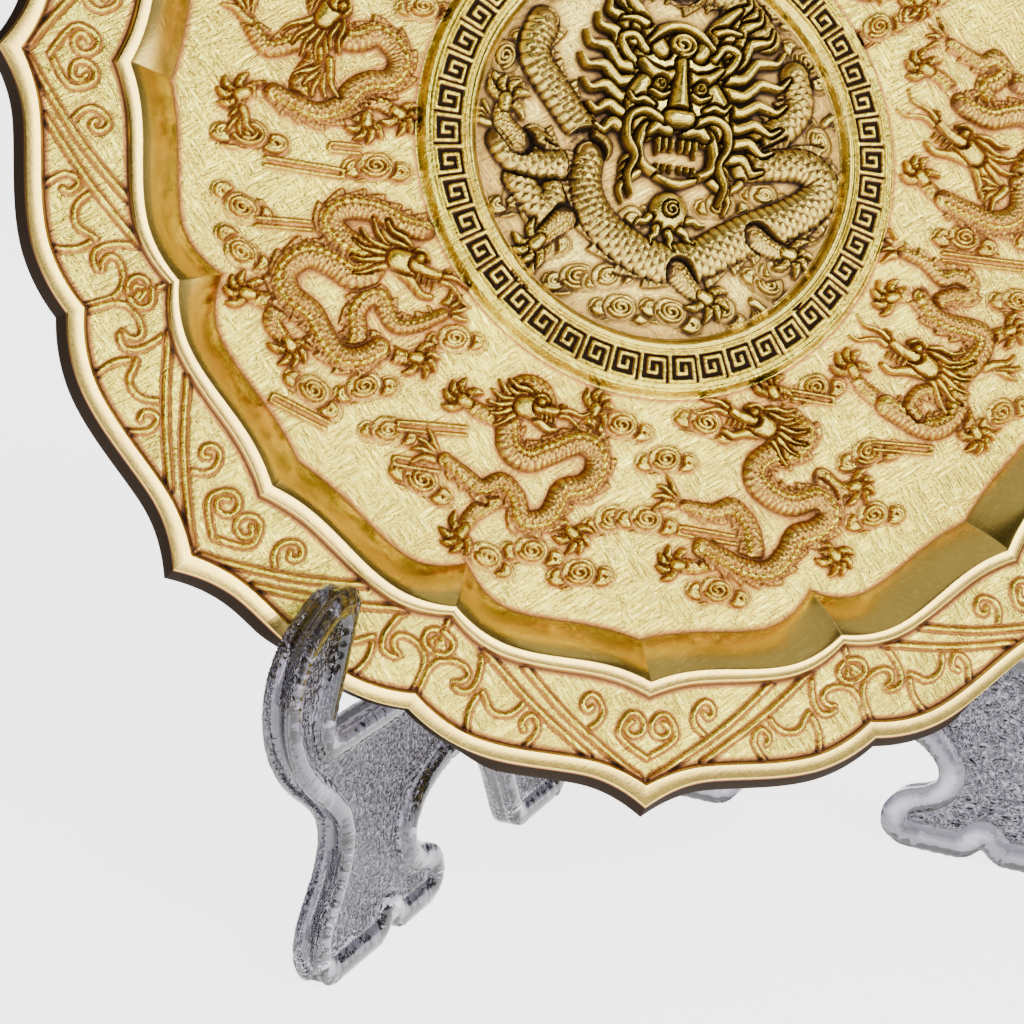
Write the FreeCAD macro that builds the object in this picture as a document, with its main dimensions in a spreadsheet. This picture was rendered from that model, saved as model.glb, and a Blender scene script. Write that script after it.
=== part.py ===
import FreeCAD, Part
import math
import os

from FreeCAD import Placement, Rotation, Vector

# An eight-lobed relief plate standing on a two-frame folding display stand.
# Frame of the part: +Z up, -Y towards the viewer, origin on the floor below the
# centre of the whole.  Millimetres throughout.

os.makedirs("parts", exist_ok=True)
doc = FreeCAD.newDocument("display_plate")

# ---------------------------------------------------------------- dimensions

DIMENSIONS = [
    # outlines of the plate: radius at the tip, waist, shoulder and notch of a lobe
    ("edge_tip", 130.0), ("edge_waist", 125.0), ("edge_shoulder", 126.3), ("edge_notch", 123.6),
    ("field_tip", 125.3), ("field_waist", 121.6), ("field_shoulder", 122.9), ("field_notch", 119.8),
    ("band_tip", 109.0), ("band_waist", 106.3), ("band_shoulder", 107.4), ("band_notch", 104.2),
    ("wall_tip", 106.2), ("wall_waist", 103.8), ("wall_shoulder", 105.1), ("wall_notch", 102.4),
    ("floor_tip", 97.7), ("floor_waist", 96.2), ("floor_shoulder", 97.4), ("floor_notch", 92.6),
    # section of the plate
    ("rim_thickness", 3.5), ("well_depth", 7.6), ("floor_thickness", 2.6), ("wall_thickness", 2.5),
    ("field_depth", 0.8),
    # medallion and the bosses of the relief
    ("ring_outer", 49.3), ("ring_inner", 39.6), ("ring_height", 2.4),
    ("ring_bevel", 0.9), ("fret_outer", 47.6), ("fret_inner", 41.3), ("fret_depth", 0.7),
    ("boss_size", 31.0), ("boss_height", 3.0),
    ("motif_size", 15.0), ("motif_height", 1.3), ("motif_circle", 74.0),
    # how the plate stands
    ("lean", 20.0), ("turn", 8.5), ("plate_centre_y", 4.2), ("plate_centre_z", 149.5),
    # stand
    ("hinge_y", 46.2), ("half_spread", 42.3), ("inner_gap", 0.5), ("frame_thickness", 7.0),
    ("web_thickness", 3.0), ("rib_width", 5.0),
    # hinge
    ("barrel_size", 3.6), ("pin_size", 1.25), ("pin_play", 0.05), ("knuckle_length", 16.0),
    ("knuckle_gap", 0.4), ("hinge_foot", 20.0), ("leaf_length", 8.5), ("leaf_face", 0.6),
]

LOBES = 8
KNUCKLES = 5
WAIST_ANGLE = 6.5
SHOULDER_ANGLE = 15.75
HALF_LOBE = 180.0 / LOBES
TIP_POWER = 2.2
NOTCH_POWER = 1.9
PANEL_STEP = 4.0
SINK = 0.5
DOME_SHOULDER = 50.0
BOWL_FOOT_SHARE = 0.6
BORE_OVERRUN = 1.0
HALF_LOBE_STEPS = (0.0, 1.2, 2.6, 4.4, 6.5, 9.5, 12.5, 15.75, 18.2, 20.5, 22.5)

sheet = doc.addObject("Spreadsheet::Sheet", "sizes")


def fill_sheet():
    for row, (name, value) in enumerate(DIMENSIONS, start=1):
        sheet.set("A%d" % row, name)
        sheet.set("B%d" % row, str(value))
        sheet.setAlias("B%d" % row, name)
    doc.recompute()


def size(name):
    return float(sheet.get(name))


def cell(name):
    return "<<sizes>>." + name


fill_sheet()

# ------------------------------------------------------------------- helpers


def origin_plane(body, role):
    return next(item for item in body.Origin.OriginFeatures if item.Role == role)


def new_body(label):
    body = doc.addObject("PartDesign::Body", label)
    body.Label = label
    return body


def new_sketch(body, name, plane, lift=None):
    """A sketch on one of the body's origin planes, lifted along the plane's normal."""
    sketch = body.newObject("Sketcher::SketchObject", name)
    sketch.AttachmentSupport = [(origin_plane(body, plane), "")]
    sketch.MapMode = "FlatFace"
    if lift is not None:
        sketch.setExpression(".AttachmentOffset.Base.z", lift)
    return sketch


def add_spline(sketch, points):
    curve = Part.BSplineCurve()
    curve.interpolate([Vector(x, y, 0) for x, y in points])
    sketch.addGeometry(curve, False)


def add_line(sketch, start, end):
    sketch.addGeometry(Part.LineSegment(Vector(*start, 0), Vector(*end, 0)), False)


def add_polygon(sketch, points):
    for start, end in zip(points, points[1:] + points[:1]):
        add_line(sketch, start, end)


def add_circle(sketch, radius, centre=(0.0, 0.0)):
    sketch.addGeometry(Part.Circle(Vector(*centre, 0), Vector(0, 0, 1), radius), False)


def pad(body, name, sketch, length, reverse=False):
    feature = body.newObject("PartDesign::Pad", name)
    feature.Profile = sketch
    feature.setExpression("Length", length)
    feature.Reversed = reverse
    return feature


def pocket(body, name, sketch, length, reverse=False):
    before = volume_of(body)
    feature = body.newObject("PartDesign::Pocket", name)
    feature.Profile = sketch
    feature.setExpression("Length", length)
    feature.Reversed = reverse
    doc.recompute()
    if volume_of(body) >= before - 1e-6:
        raise RuntimeError(name + " removes nothing")
    return feature


def volume_of(body):
    doc.recompute()
    return body.Shape.Volume


# --------------------------------------------------------------------- plate


def lobe_radius(angle, tip, waist, shoulder, notch):
    """Radius of a lobed outline at an angle from a tip, in degrees up to half a lobe."""
    if angle <= WAIST_ANGLE:
        return waist + (tip - waist) * (1 - angle / WAIST_ANGLE) ** TIP_POWER
    if angle <= SHOULDER_ANGLE:
        share = (angle - WAIST_ANGLE) / (SHOULDER_ANGLE - WAIST_ANGLE)
        return waist + (shoulder - waist) * share * share * (3 - 2 * share)
    share = (angle - SHOULDER_ANGLE) / (HALF_LOBE - SHOULDER_ANGLE)
    return shoulder - (shoulder - notch) * share ** NOTCH_POWER


def polar(radius, angle):
    return (radius * math.cos(math.radians(angle)), radius * math.sin(math.radians(angle)))


def add_lobed_outline(sketch, family, extra=0.0):
    """Closed outline of eight ogee lobes; extra grows every radius."""
    radii = [size(family + "_" + place) + extra for place in ("tip", "waist", "shoulder", "notch")]
    for lobe in range(LOBES):
        tip_angle = lobe * 2 * HALF_LOBE
        for side in (1, -1):
            points = [polar(lobe_radius(step, *radii), tip_angle + side * step)
                      for step in HALF_LOBE_STEPS]
            add_spline(sketch, points)


def make_rim(body):
    outline = new_sketch(body, "rim_outline", "XY_Plane", "-" + cell("rim_thickness"))
    add_lobed_outline(outline, "edge")
    pad(body, "rim", outline, cell("rim_thickness"))


def make_bowl(body):
    """The bowl hangs behind the rim; its well is hollowed from the front."""
    floor_level = "-(" + cell("well_depth") + ")"
    back_level = "-(" + cell("well_depth") + "+" + cell("floor_thickness") + ")"
    upper = new_sketch(body, "bowl_upper", "XY_Plane", "-" + cell("rim_thickness"))
    add_lobed_outline(upper, "wall", size("wall_thickness"))
    lower = new_sketch(body, "bowl_lower", "XY_Plane", back_level)
    add_lobed_outline(lower, "floor", size("wall_thickness") * BOWL_FOOT_SHARE)
    bowl = body.newObject("PartDesign::AdditiveLoft", "bowl")
    bowl.Profile = upper
    bowl.Sections = [lower]
    bowl.Ruled = True
    doc.recompute()
    mouth = new_sketch(body, "well_mouth", "XY_Plane")
    add_lobed_outline(mouth, "wall")
    floor = new_sketch(body, "well_floor", "XY_Plane", floor_level)
    add_lobed_outline(floor, "floor")
    before = volume_of(body)
    well = body.newObject("PartDesign::SubtractiveLoft", "well")
    well.Profile = mouth
    well.Sections = [floor]
    well.Ruled = True
    if volume_of(body) >= before:
        raise RuntimeError("the well removes nothing")


def make_rim_field(body):
    """The sunk field between the plate's two flat bands."""
    field = new_sketch(body, "field_outline", "XY_Plane")
    add_lobed_outline(field, "field")
    add_lobed_outline(field, "band")
    pocket(body, "rim_field", field, cell("field_depth"))


def make_medallion(body):
    """Raised ring with a fret channel, and the low dome that carries the main motif."""
    floor = -size("well_depth")
    top = floor + size("ring_height")
    channel = top - size("fret_depth")
    outer, inner, bevel = size("ring_outer"), size("ring_inner"), size("ring_bevel")
    ring = new_sketch(body, "ring_section", "XZ_Plane")
    add_polygon(ring, [
        (inner, floor - SINK), (outer, floor - SINK), (outer, top - bevel), (outer - bevel, top),
        (size("fret_outer"), top), (size("fret_outer"), channel), (size("fret_inner"), channel),
        (size("fret_inner"), top), (inner + bevel, top), (inner, top - bevel)])
    revolve(body, "ring", ring)
    dome = new_sketch(body, "dome_section", "XZ_Plane")
    add_dome(dome, 0.0, size("boss_size"), size("boss_height"), floor)
    revolve(body, "boss", dome)


def add_dome(sketch, centre, radius, height, floor):
    """Half section of a round dome whose flat side is sunk a little below the floor."""
    rise, run = polar(1.0, DOME_SHOULDER)
    shoulder = (centre + radius * run, floor + height * rise)
    add_line(sketch, (centre, floor + height), (centre, floor - SINK))
    add_line(sketch, (centre, floor - SINK), (centre + radius, floor - SINK))
    add_line(sketch, (centre + radius, floor - SINK), (centre + radius, floor))
    add_spline(sketch, [(centre + radius, floor), shoulder, (centre, floor + height)])


def revolve(body, name, sketch, axis="V_Axis"):
    feature = body.newObject("PartDesign::Revolution", name)
    feature.Profile = sketch
    feature.ReferenceAxis = (sketch, [axis])
    feature.Angle = 360.0
    doc.recompute()
    return feature


def make_motifs(body):
    """Eight low bosses in line with the notches, one for each small motif of the floor."""
    outline = new_sketch(body, "motif_outline", "XY_Plane", "-%s-%s" % (cell("well_depth"), SINK))
    add_circle(outline, size("motif_size"), polar(size("motif_circle"), HALF_LOBE))
    boss = pad(body, "motif", outline, "%s+%s" % (cell("motif_height"), SINK))
    pattern = body.newObject("PartDesign::PolarPattern", "motifs")
    pattern.Originals = [boss]
    pattern.Axis = (outline, ["N_Axis"])
    pattern.Angle = 360.0
    pattern.Occurrences = LOBES
    body.Tip = pattern
    doc.recompute()


def place_plate(body):
    """Turned in its own plane, leant back, and lifted onto the stand."""
    turned = Rotation(Vector(0, 0, 1), -size("turn"))
    leant = Rotation(Vector(1, 0, 0), 90.0 - size("lean"))
    centre = Vector(0, size("plate_centre_y"), size("plate_centre_z"))
    body.Placement = Placement(centre, leant * turned)
    body.setExpression(".Placement.Base.y", cell("plate_centre_y"))
    body.setExpression(".Placement.Base.z", cell("plate_centre_z"))


def make_plate():
    body = new_body("relief_plate")
    make_rim(body)
    make_bowl(body)
    make_rim_field(body)
    make_medallion(body)
    make_motifs(body)
    place_plate(body)
    return body


# --------------------------------------------------------------------- stand

# Outline of one stand frame, seen square on: distance from the hinge axis towards
# the front foot, and height.  Each run is smooth; runs meet in corners.
FRONT_CONTOUR = [(115.0, 0.0), (120.5, 2.6), (122.6, 8.0), (121.2, 13.0), (117.0, 18.5),
                 (113.6, 24.0), (113.2, 29.0), (116.3, 33.6), (122.6, 38.6), (128.6, 45.0),
                 (132.0, 53.0), (131.4, 61.0), (127.0, 67.6), (119.0, 72.6), (111.0, 75.0),
                 (107.2, 74.2), (105.4, 70.8)]
NOTCH_CORNER = [(115.4, 50.8), (114.6, 49.3), (112.8, 48.8)]
PANEL_TOP_BACK = (90.0, 48.8)
BACKREST_FOOT = [(90.0, 48.8), (87.6, 50.6), (85.0, 55.2), (82.6, 60.4)]
BACKREST_HEAD = [(44.4, 138.0), (40.4, 146.0), (37.2, 152.5), (33.4, 158.8), (28.2, 161.4),
                 (24.0, 158.4), (22.8, 151.0), (20.2, 139.0), (13.2, 124.0), (6.6, 112.0)]
REAR_HEEL = [(6.6, 14.0), (7.6, 6.4), (11.4, 1.6), (17.0, 0.0)]
REAR_TOE = (31.0, 0.0)
ARCH_AND_SCROLL = [(31.0, 0.0), (37.4, 4.2), (42.0, 13.6), (49.6, 23.0), (62.0, 27.6),
                   (75.0, 25.2), (81.6, 20.8), (83.0, 17.4), (80.6, 14.4), (75.4, 12.6),
                   (71.6, 9.4), (70.6, 5.4)]
SCROLL_TOE = [(70.6, 5.4), (71.8, 2.2), (74.6, 0.5), (78.6, 0.0)]
SCROLL_END = (88.0, 0.0)
NICK_TOP = (93.2, 3.8)
BASE_NICK_BACK = [(88.0, 0.0), (90.0, 0.5), (91.8, 1.7), NICK_TOP]
BASE_NICK_FRONT = [NICK_TOP, (94.6, 1.7), (96.2, 0.5), (98.0, 0.0)]

FRAME_RUNS = [
    FRONT_CONTOUR,
    [FRONT_CONTOUR[-1], NOTCH_CORNER[0]],
    NOTCH_CORNER,
    [NOTCH_CORNER[-1], PANEL_TOP_BACK],
    BACKREST_FOOT,
    [BACKREST_FOOT[-1], BACKREST_HEAD[0]],
    BACKREST_HEAD,
    [BACKREST_HEAD[-1], REAR_HEEL[0]],
    REAR_HEEL,
    [REAR_HEEL[-1], REAR_TOE],
    ARCH_AND_SCROLL,
    SCROLL_TOE,
    [SCROLL_TOE[-1], SCROLL_END],
    BASE_NICK_BACK,
    BASE_NICK_FRONT,
    [BASE_NICK_FRONT[-1], FRONT_CONTOUR[0]],
]


def run_curve(points):
    """Line or spline through a run; where it meets the floor it does so flat."""
    if len(points) == 2:
        return Part.LineSegment(Vector(*points[0], 0), Vector(*points[1], 0))
    on_floor = [index in (0, len(points) - 1) and point[1] == 0.0
                for index, point in enumerate(points)]
    curve = Part.BSplineCurve()
    curve.interpolate(Points=[Vector(x, y, 0) for x, y in points],
                      Tangents=[Vector(1, 0, 0)] * len(points), TangentFlags=on_floor)
    return curve


def frame_wire():
    return Part.Wire([run_curve(run).toShape() for run in FRAME_RUNS])


def panel_runs():
    """Outline of the thin panel: the frame's outline moved in by the width of the rib."""
    inner = frame_wire().makeOffset2D(-size("rib_width"))
    wire = max(inner.Wires, key=lambda one: Part.Face(one).Area)
    runs = []
    for edge in wire.OrderedEdges:
        count = max(2, 2 + int(edge.Length / PANEL_STEP))
        points = [(point.x, point.y) for point in edge.discretize(Number=count)]
        if runs:
            if math.dist(points[-1], runs[-1][-1]) < math.dist(points[0], runs[-1][-1]):
                points.reverse()
            points[0] = runs[-1][-1]
        runs.append(points)
    runs[-1][-1] = runs[0][0]
    return runs


def make_slab(body, outward):
    """The full outline at the thickness of the rib, on the outer side of the hinge axis."""
    outline = new_sketch(body, "outline", "XZ_Plane",
                         cell("inner_gap") if outward < 0 else "-" + cell("inner_gap"))
    for run in FRAME_RUNS:
        outline.addGeometry(run_curve(run), False)
    pad(body, "slab", outline, cell("frame_thickness"), reverse=outward > 0)
    doc.recompute()


def sink_panel(body, outward):
    """Sinks both faces inside the rib, which leaves the thin panel in the middle."""
    depth = "(" + cell("frame_thickness") + "-" + cell("web_thickness") + ")/2"
    faces = {"inner": cell("inner_gap"), "outer": cell("inner_gap") + "+" + cell("frame_thickness")}
    for name, distance in faces.items():
        lift = distance if outward < 0 else "-(" + distance + ")"
        sketch = new_sketch(body, name + "_panel", "XZ_Plane", lift)
        for run in panel_runs():
            sketch.addGeometry(run_curve(run), False)
        towards_outside = name == "inner"
        pocket(body, name + "_recess", sketch, depth,
               reverse=towards_outside == (outward < 0))


def make_knuckles(body, outward, numbers):
    """Barrel lengths round the hinge axis, each with a leaf that reaches the slab."""
    barrel = size("barrel_size")
    face = outward * size("leaf_face")
    flank = outward * barrel
    reach = math.sqrt(barrel ** 2 - face ** 2)
    for number in numbers:
        foot = "%s+%d*(%s+%s)" % (cell("hinge_foot"), number, cell("knuckle_length"),
                                  cell("knuckle_gap"))
        section = new_sketch(body, "knuckle_%d_section" % number, "XY_Plane", foot)
        leaf = size("leaf_length")
        add_line(section, (leaf, flank), (0.0, flank))
        arc = Part.Arc(Vector(0, flank, 0), Vector(-barrel, 0, 0), Vector(reach, face, 0))
        section.addGeometry(arc, False)
        add_line(section, (reach, face), (leaf, face))
        add_line(section, (leaf, face), (leaf, flank))
        pad(body, "knuckle_%d" % number, section, cell("knuckle_length"))
    doc.recompute()


def bore_hinge(body):
    """Hole for the pin, through every knuckle."""
    mouth = new_sketch(body, "pin_hole", "XY_Plane", "%s-%s" % (cell("hinge_foot"), BORE_OVERRUN))
    add_circle(mouth, size("pin_size") + size("pin_play"))
    length = "%d*(%s+%s)+2*%s" % (KNUCKLES, cell("knuckle_length"), cell("knuckle_gap"),
                                  BORE_OVERRUN)
    pocket(body, "pin_bore", mouth, length, reverse=True)


def make_frame(label, outward, numbers):
    body = new_body(label)
    make_slab(body, outward)
    sink_panel(body, outward)
    make_knuckles(body, outward, numbers)
    bore_hinge(body)
    swing = -90.0 + outward * size("half_spread")
    body.Placement = Placement(Vector(0, size("hinge_y"), 0), Rotation(Vector(0, 0, 1), swing))
    body.setExpression(".Placement.Base.y", cell("hinge_y"))
    return body


def make_pin():
    """Steel wire pin, flush with the outer knuckles."""
    pin = doc.addObject("Part::Cylinder", "hinge_pin")
    pin.Label = "hinge_pin"
    pin.setExpression("Radius", cell("pin_size"))
    pin.setExpression("Height", "%d*%s+%d*%s" % (KNUCKLES, cell("knuckle_length"),
                                                 KNUCKLES - 1, cell("knuckle_gap")))
    pin.Placement = Placement(Vector(0, size("hinge_y"), size("hinge_foot")), Rotation())
    pin.setExpression(".Placement.Base.y", cell("hinge_y"))
    pin.setExpression(".Placement.Base.z", cell("hinge_foot"))
    return pin


# -------------------------------------------------------------------- output


def check(pieces):
    doc.recompute()
    for item in doc.Objects:
        if "Invalid" in item.State or "Error" in item.State:
            raise RuntimeError("%s failed: %s" % (item.Label, item.State))
    for piece in pieces:
        shape = piece.Shape
        if shape.isNull() or not shape.isValid():
            raise RuntimeError(piece.Label + " has no valid shape")
        if len(shape.Solids) != 1:
            raise RuntimeError("%s is %d solids" % (piece.Label, len(shape.Solids)))


def report(pieces):
    box = FreeCAD.BoundBox()
    for piece in pieces:
        box.add(piece.Shape.BoundBox)
        print("%-20s %8.1f cm3" % (piece.Label, piece.Shape.Volume / 1000))
    print("box x %.2f..%.2f  y %.2f..%.2f  z %.2f..%.2f" % (
        box.XMin, box.XMax, box.YMin, box.YMax, box.ZMin, box.ZMax))


def main():
    pieces = [
        make_plate(),
        make_frame("stand_frame_left", -1, (0, 2, 4)),
        make_frame("stand_frame_right", 1, (1, 3)),
        make_pin(),
    ]
    check(pieces)
    report(pieces)
    for piece in pieces:
        piece.Shape.exportStep("parts/%s.step" % piece.Label)


main()
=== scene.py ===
"""A lobed gilt plate with a dragon relief, leaning on a clear folding display stand."""

import math

import bpy
import numpy as np
from mathutils import Matrix, Vector
from mathutils.kdtree import KDTree


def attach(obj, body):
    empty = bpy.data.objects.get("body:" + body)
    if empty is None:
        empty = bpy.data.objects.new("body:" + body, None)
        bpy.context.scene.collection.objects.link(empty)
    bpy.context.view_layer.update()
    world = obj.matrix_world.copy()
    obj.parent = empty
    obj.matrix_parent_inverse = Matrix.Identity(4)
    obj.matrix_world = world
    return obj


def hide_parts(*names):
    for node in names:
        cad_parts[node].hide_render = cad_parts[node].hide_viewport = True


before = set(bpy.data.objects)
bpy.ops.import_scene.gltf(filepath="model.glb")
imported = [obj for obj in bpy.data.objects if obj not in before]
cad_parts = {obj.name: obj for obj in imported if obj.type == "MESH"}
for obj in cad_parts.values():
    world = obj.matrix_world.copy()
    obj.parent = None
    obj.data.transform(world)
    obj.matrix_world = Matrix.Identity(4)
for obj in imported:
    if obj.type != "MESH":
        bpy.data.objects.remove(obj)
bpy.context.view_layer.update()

MM = 0.001

# ------------------------------------------------------------ where the plate is
# degrees it leans back, degrees it is turned in its own plane, middle of its rim in millimetres
LEAN = 20.0
TURN = 8.5
CENTRE = Vector((0.0, 4.2, 149.5))

# ------------------------------------------------------------ outlines of the plate
# radius at the tip, waist, shoulder and notch of one lobe, in millimetres
EDGE = (130.0, 125.0, 126.3, 123.6)
FIELD = (125.3, 121.6, 122.9, 119.8)
BAND = (109.0, 106.3, 107.4, 104.2)
WALL = (106.2, 103.8, 105.1, 102.4)
FLOOR = (97.7, 96.2, 97.4, 92.6)
LOBES = 8
HALF_LOBE = 22.5
WAIST_ANGLE = 6.5
SHOULDER_ANGLE = 15.75

WELL_DEPTH = 7.6
FIELD_DEPTH = 0.8
RIM_THICKNESS = 3.5
WALL_THICKNESS = 2.5
FLOOR_THICKNESS = 2.6
FLARE = 1.7
# directions of the two hooks of the stand, where the edge does not lean out
SEATS = (TURN - 56.6, TURN - 123.4)

# ------------------------------------------------------------ the height map
# the relief is painted on a square grid over the plate, and its worn places on another
CELL = 0.16
REACH = 131.0
COUNT = int(2 * REACH / CELL) + 1
height = np.zeros((COUNT, COUNT), np.float32)
wear = np.zeros((COUNT, COUNT), np.float32)


def curve(points, step=0.45):
    """Closely spaced points on a smooth line through the given ones."""
    p = np.array(points, float)
    p = np.vstack([2 * p[0] - p[1], p, 2 * p[-1] - p[-2]])
    spans = []
    for a, b, c, d in zip(p, p[1:], p[2:], p[3:]):
        count = max(2, int(np.hypot(*(c - b)) / step) + 1)
        t = np.linspace(0, 1, count, endpoint=False)[:, None]
        cubic = (3 * b - a - 3 * c + d) * t ** 3
        square = (2 * a - 5 * b + 4 * c - d) * t ** 2
        spans.append(0.5 * (2 * b + (c - a) * t + square + cubic))
    spans.append(p[-2:-1])
    return np.vstack(spans)


def trace(line, reach):
    """Distance from a line, distance along it and side of it, for the cells near it."""
    first = np.clip(((line.min(0) - reach + REACH) / CELL).astype(int), 0, COUNT - 1)
    last = np.clip(((line.max(0) + reach + REACH) / CELL).astype(int) + 1, 1, COUNT)
    window = (slice(first[1], last[1]), slice(first[0], last[0]))
    x = np.arange(first[0], last[0]) * CELL - REACH
    y = np.arange(first[1], last[1]) * CELL - REACH
    gap = np.full((len(y), len(x)), 1e3, np.float32)
    along = np.zeros_like(gap)
    side = np.zeros_like(gap)
    run = 0.0
    for start, end in zip(line, line[1:]):
        step = end - start
        length = math.hypot(*step)
        if length < 1e-9:
            continue
        low = np.minimum(start, end) - reach
        high = np.maximum(start, end) + reach
        j = slice(*np.searchsorted(x, (low[0], high[0])))
        i = slice(*np.searchsorted(y, (low[1], high[1])))
        px = x[None, j] - start[0]
        py = y[i, None] - start[1]
        share = np.clip((px * step[0] + py * step[1]) / length ** 2, 0, 1)
        far = np.hypot(px - share * step[0], py - share * step[1])
        near = far < gap[i, j]
        gap[i, j] = np.where(near, far, gap[i, j])
        along[i, j] = np.where(near, run + share * length, along[i, j])
        turn = np.sign(step[0] * py - step[1] * px)
        side[i, j] = np.where(near, turn, side[i, j])
        run += length
    return window, gap, along, side, run


def lay(window, form, inside, trench, depth=0.0):
    """Puts a form over what is there and clears a narrow trench round it."""
    old = height[window]
    old = np.where(trench, np.minimum(old, depth), old)
    height[window] = np.where(inside, form, old)


def bead(points, half, top, taper=(1.0, 1.0), trench=0.4, depth=0.0, smooth=True):
    """A rounded ridge along a line."""
    line = curve(points) if smooth else np.array(points, float)
    window, gap, along, _, run = trace(line, half * max(taper) + trench + CELL)
    width = half * np.interp(along / max(run, 1e-6), np.linspace(0, 1, len(taper)), taper)
    share = gap / np.maximum(width, 0.05)
    form = top * np.sqrt(np.clip(1 - share ** 2, 0, 1))
    wear[window] = np.where(share < 1, 0.35 * np.clip(share - 0.6, 0, 1), wear[window])
    lay(window, form, share < 1, (share >= 1) & (gap < width + trench), depth)


BAR_SLOPE = 0.28


def flat_bar(points, half, top):
    """A flat-topped bar with steep sides along straight runs."""
    window, gap, _, _, _ = trace(np.array(points, float), half + CELL)
    form = top * np.clip((half - gap) / BAR_SLOPE, 0, 1)
    height[window] = np.maximum(height[window], form)


def dot(x, y, radius, top, trench=0.3):
    """A round boss."""
    bead([(x, y), (x + 0.02, y)], radius, top, trench=trench, smooth=False)


def scales(along, across, pitch):
    """Overlapping round scales: 1 in the middle of each, falling to 0 at its rim."""
    radius = 0.64 * pitch
    rows = along / (0.5 * pitch)
    result = np.zeros_like(along)
    done = np.zeros(along.shape, bool)
    for ahead in (1, 0, -1):
        row = np.floor(rows) + ahead
        along_gap = (rows - row) * 0.5 * pitch
        shifted = across / pitch + 0.5 * (row % 2)
        across_gap = (shifted - np.round(shifted)) * pitch
        far = np.hypot(along_gap, across_gap) / radius
        hit = (far < 1) & ~done
        result = np.where(hit, 1 - far ** 3, result)
        done |= hit
    return result


def serpent(points, half, top, back=1, taper=(1.0, 1.0), pitch=1.5, fin=1.3, beads=0.30, trench=0.5):
    """A scaled body with ridges on its belly and a chain of beads along its back."""
    line = curve(points)
    window, gap, along, side, run = trace(line, half * max(taper) + trench + fin + CELL)
    width = half * np.interp(along / run, np.linspace(0, 1, len(taper)), taper)
    across = side * back * gap
    spikes = (1 - (along / (2.1 * pitch)) % 1.0) ** 1.3 * fin
    finned = (across > 0) & (gap >= width) & (gap < width + spikes) & (along > 0) & (along < run - pitch)
    ray = 0.5 + 0.5 * np.cos(along * 2 * math.pi / (0.5 * pitch))
    fins = 0.30 * top * (0.8 + 0.35 * ray)
    share = across / width
    form = top * np.clip(1 - share ** 2, 0, 1) ** 0.6
    lattice = scales(along, across, pitch)
    belly = np.abs(np.sin(math.pi * along / (0.72 * pitch))) ** 0.6
    form += np.where(share > -0.45, 0.24 * top * (lattice - 1), 0.18 * top * (belly - 1))
    bead_pitch = 0.92 * pitch
    radius = np.minimum(beads * width, 0.47 * bead_pitch)
    da = (along / bead_pitch % 1.0 - 0.5) * bead_pitch
    db = across - 0.45 * width
    ball = np.sqrt(np.clip(radius ** 2 - da ** 2 - db ** 2, 0, None))
    chain = np.abs(db) < radius * 1.25
    form = np.where(chain, form - 0.25 * top + 1.3 * ball, form)
    worn = 0.03 + 0.62 * np.where(share > -0.45, 1 - lattice, 1 - belly) * ~chain
    worn = np.where(chain, -0.25 + 0.6 * np.clip(0.35 - ball, 0, 1), worn)
    old = wear[window]
    old = np.where(finned, 0.35 - 0.3 * ray, old)
    wear[window] = np.where(gap < width, worn, old)
    form = np.where(finned, fins, form)
    inside = (gap < width) | finned
    lay(window, form, inside, ~inside & (gap < width + trench + np.where(across > 0, spikes, 0)))


class Spot:
    """A place on the plate: local points are turned, scaled and moved onto it."""

    def __init__(self, x=0.0, y=0.0, turn=0.0, size=1.0, flip=1):
        self.x, self.y, self.size, self.flip = x, y, size, flip
        self.turn = turn
        self.cos, self.sin = math.cos(math.radians(turn)), math.sin(math.radians(turn))

    def at(self, points):
        """The local points, moved onto the plate."""
        placed = []
        for x, y in points:
            x, y = x * self.size, y * self.size * self.flip
            placed.append((self.x + x * self.cos - y * self.sin, self.y + x * self.sin + y * self.cos))
        return placed

    def inner(self, x, y, turn=0.0, size=1.0, flip=1):
        """A place given in this place's own measure."""
        (px, py), = self.at([(x, y)])
        return Spot(px, py, self.turn + turn * self.flip, self.size * size, self.flip * flip)


def spiral(turns, outer, inner=0.0, squash=0.7, start=0.0, step=18):
    """Points of a flat spiral from the outside in."""
    count = int(turns * 360 / step) + 1
    points = []
    for index in range(count):
        angle = math.radians(start + index * step)
        radius = outer + (inner - outer) * index / (count - 1)
        points.append((radius * math.cos(angle), squash * radius * math.sin(angle)))
    return points


def wave(length, swing, count=3, bend=0.0, lean=0.0):
    """Points of a wavy lock."""
    points = []
    for index in range(count * 4 + 1):
        share = index / (count * 4)
        y = swing * math.sin(share * count * 2 * math.pi) * (0.4 + 0.6 * share)
        points.append((length * share, y + bend * share ** 2 + lean * share))
    return points


def curl(spot, radius):
    """One oval curl of a cloud: a low disc with a spiral ridge on it."""
    disc = spot.at([(-0.35 * radius, 0), (0.35 * radius, 0)])
    bead(disc, 0.80 * radius, 0.40, trench=0.5, depth=-0.1, smooth=False)
    line = spiral(2.2 if radius > 2.0 else 1.6, radius, 0.45, 0.72, 200)
    bead(spot.at(line), 0.38, 1.15, trench=0.16, depth=-0.05)


def cloud(spot):
    """A bank of curls, with a foot that trails under them."""
    bead(spot.at([(-7.6, -1.9), (-4.0, -2.8), (0.0, -2.3), (4.0, -3.0), (8.0, -2.2)]), 0.42, 0.9,
         taper=(0.5, 1, 1, 0.5), trench=0.3)
    for x, y, radius in ((-5.4, 0.0, 2.3), (4.9, -1.0, 2.4), (-0.4, 0.5, 3.2)):
        curl(spot.inner(x, y), radius)


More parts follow.
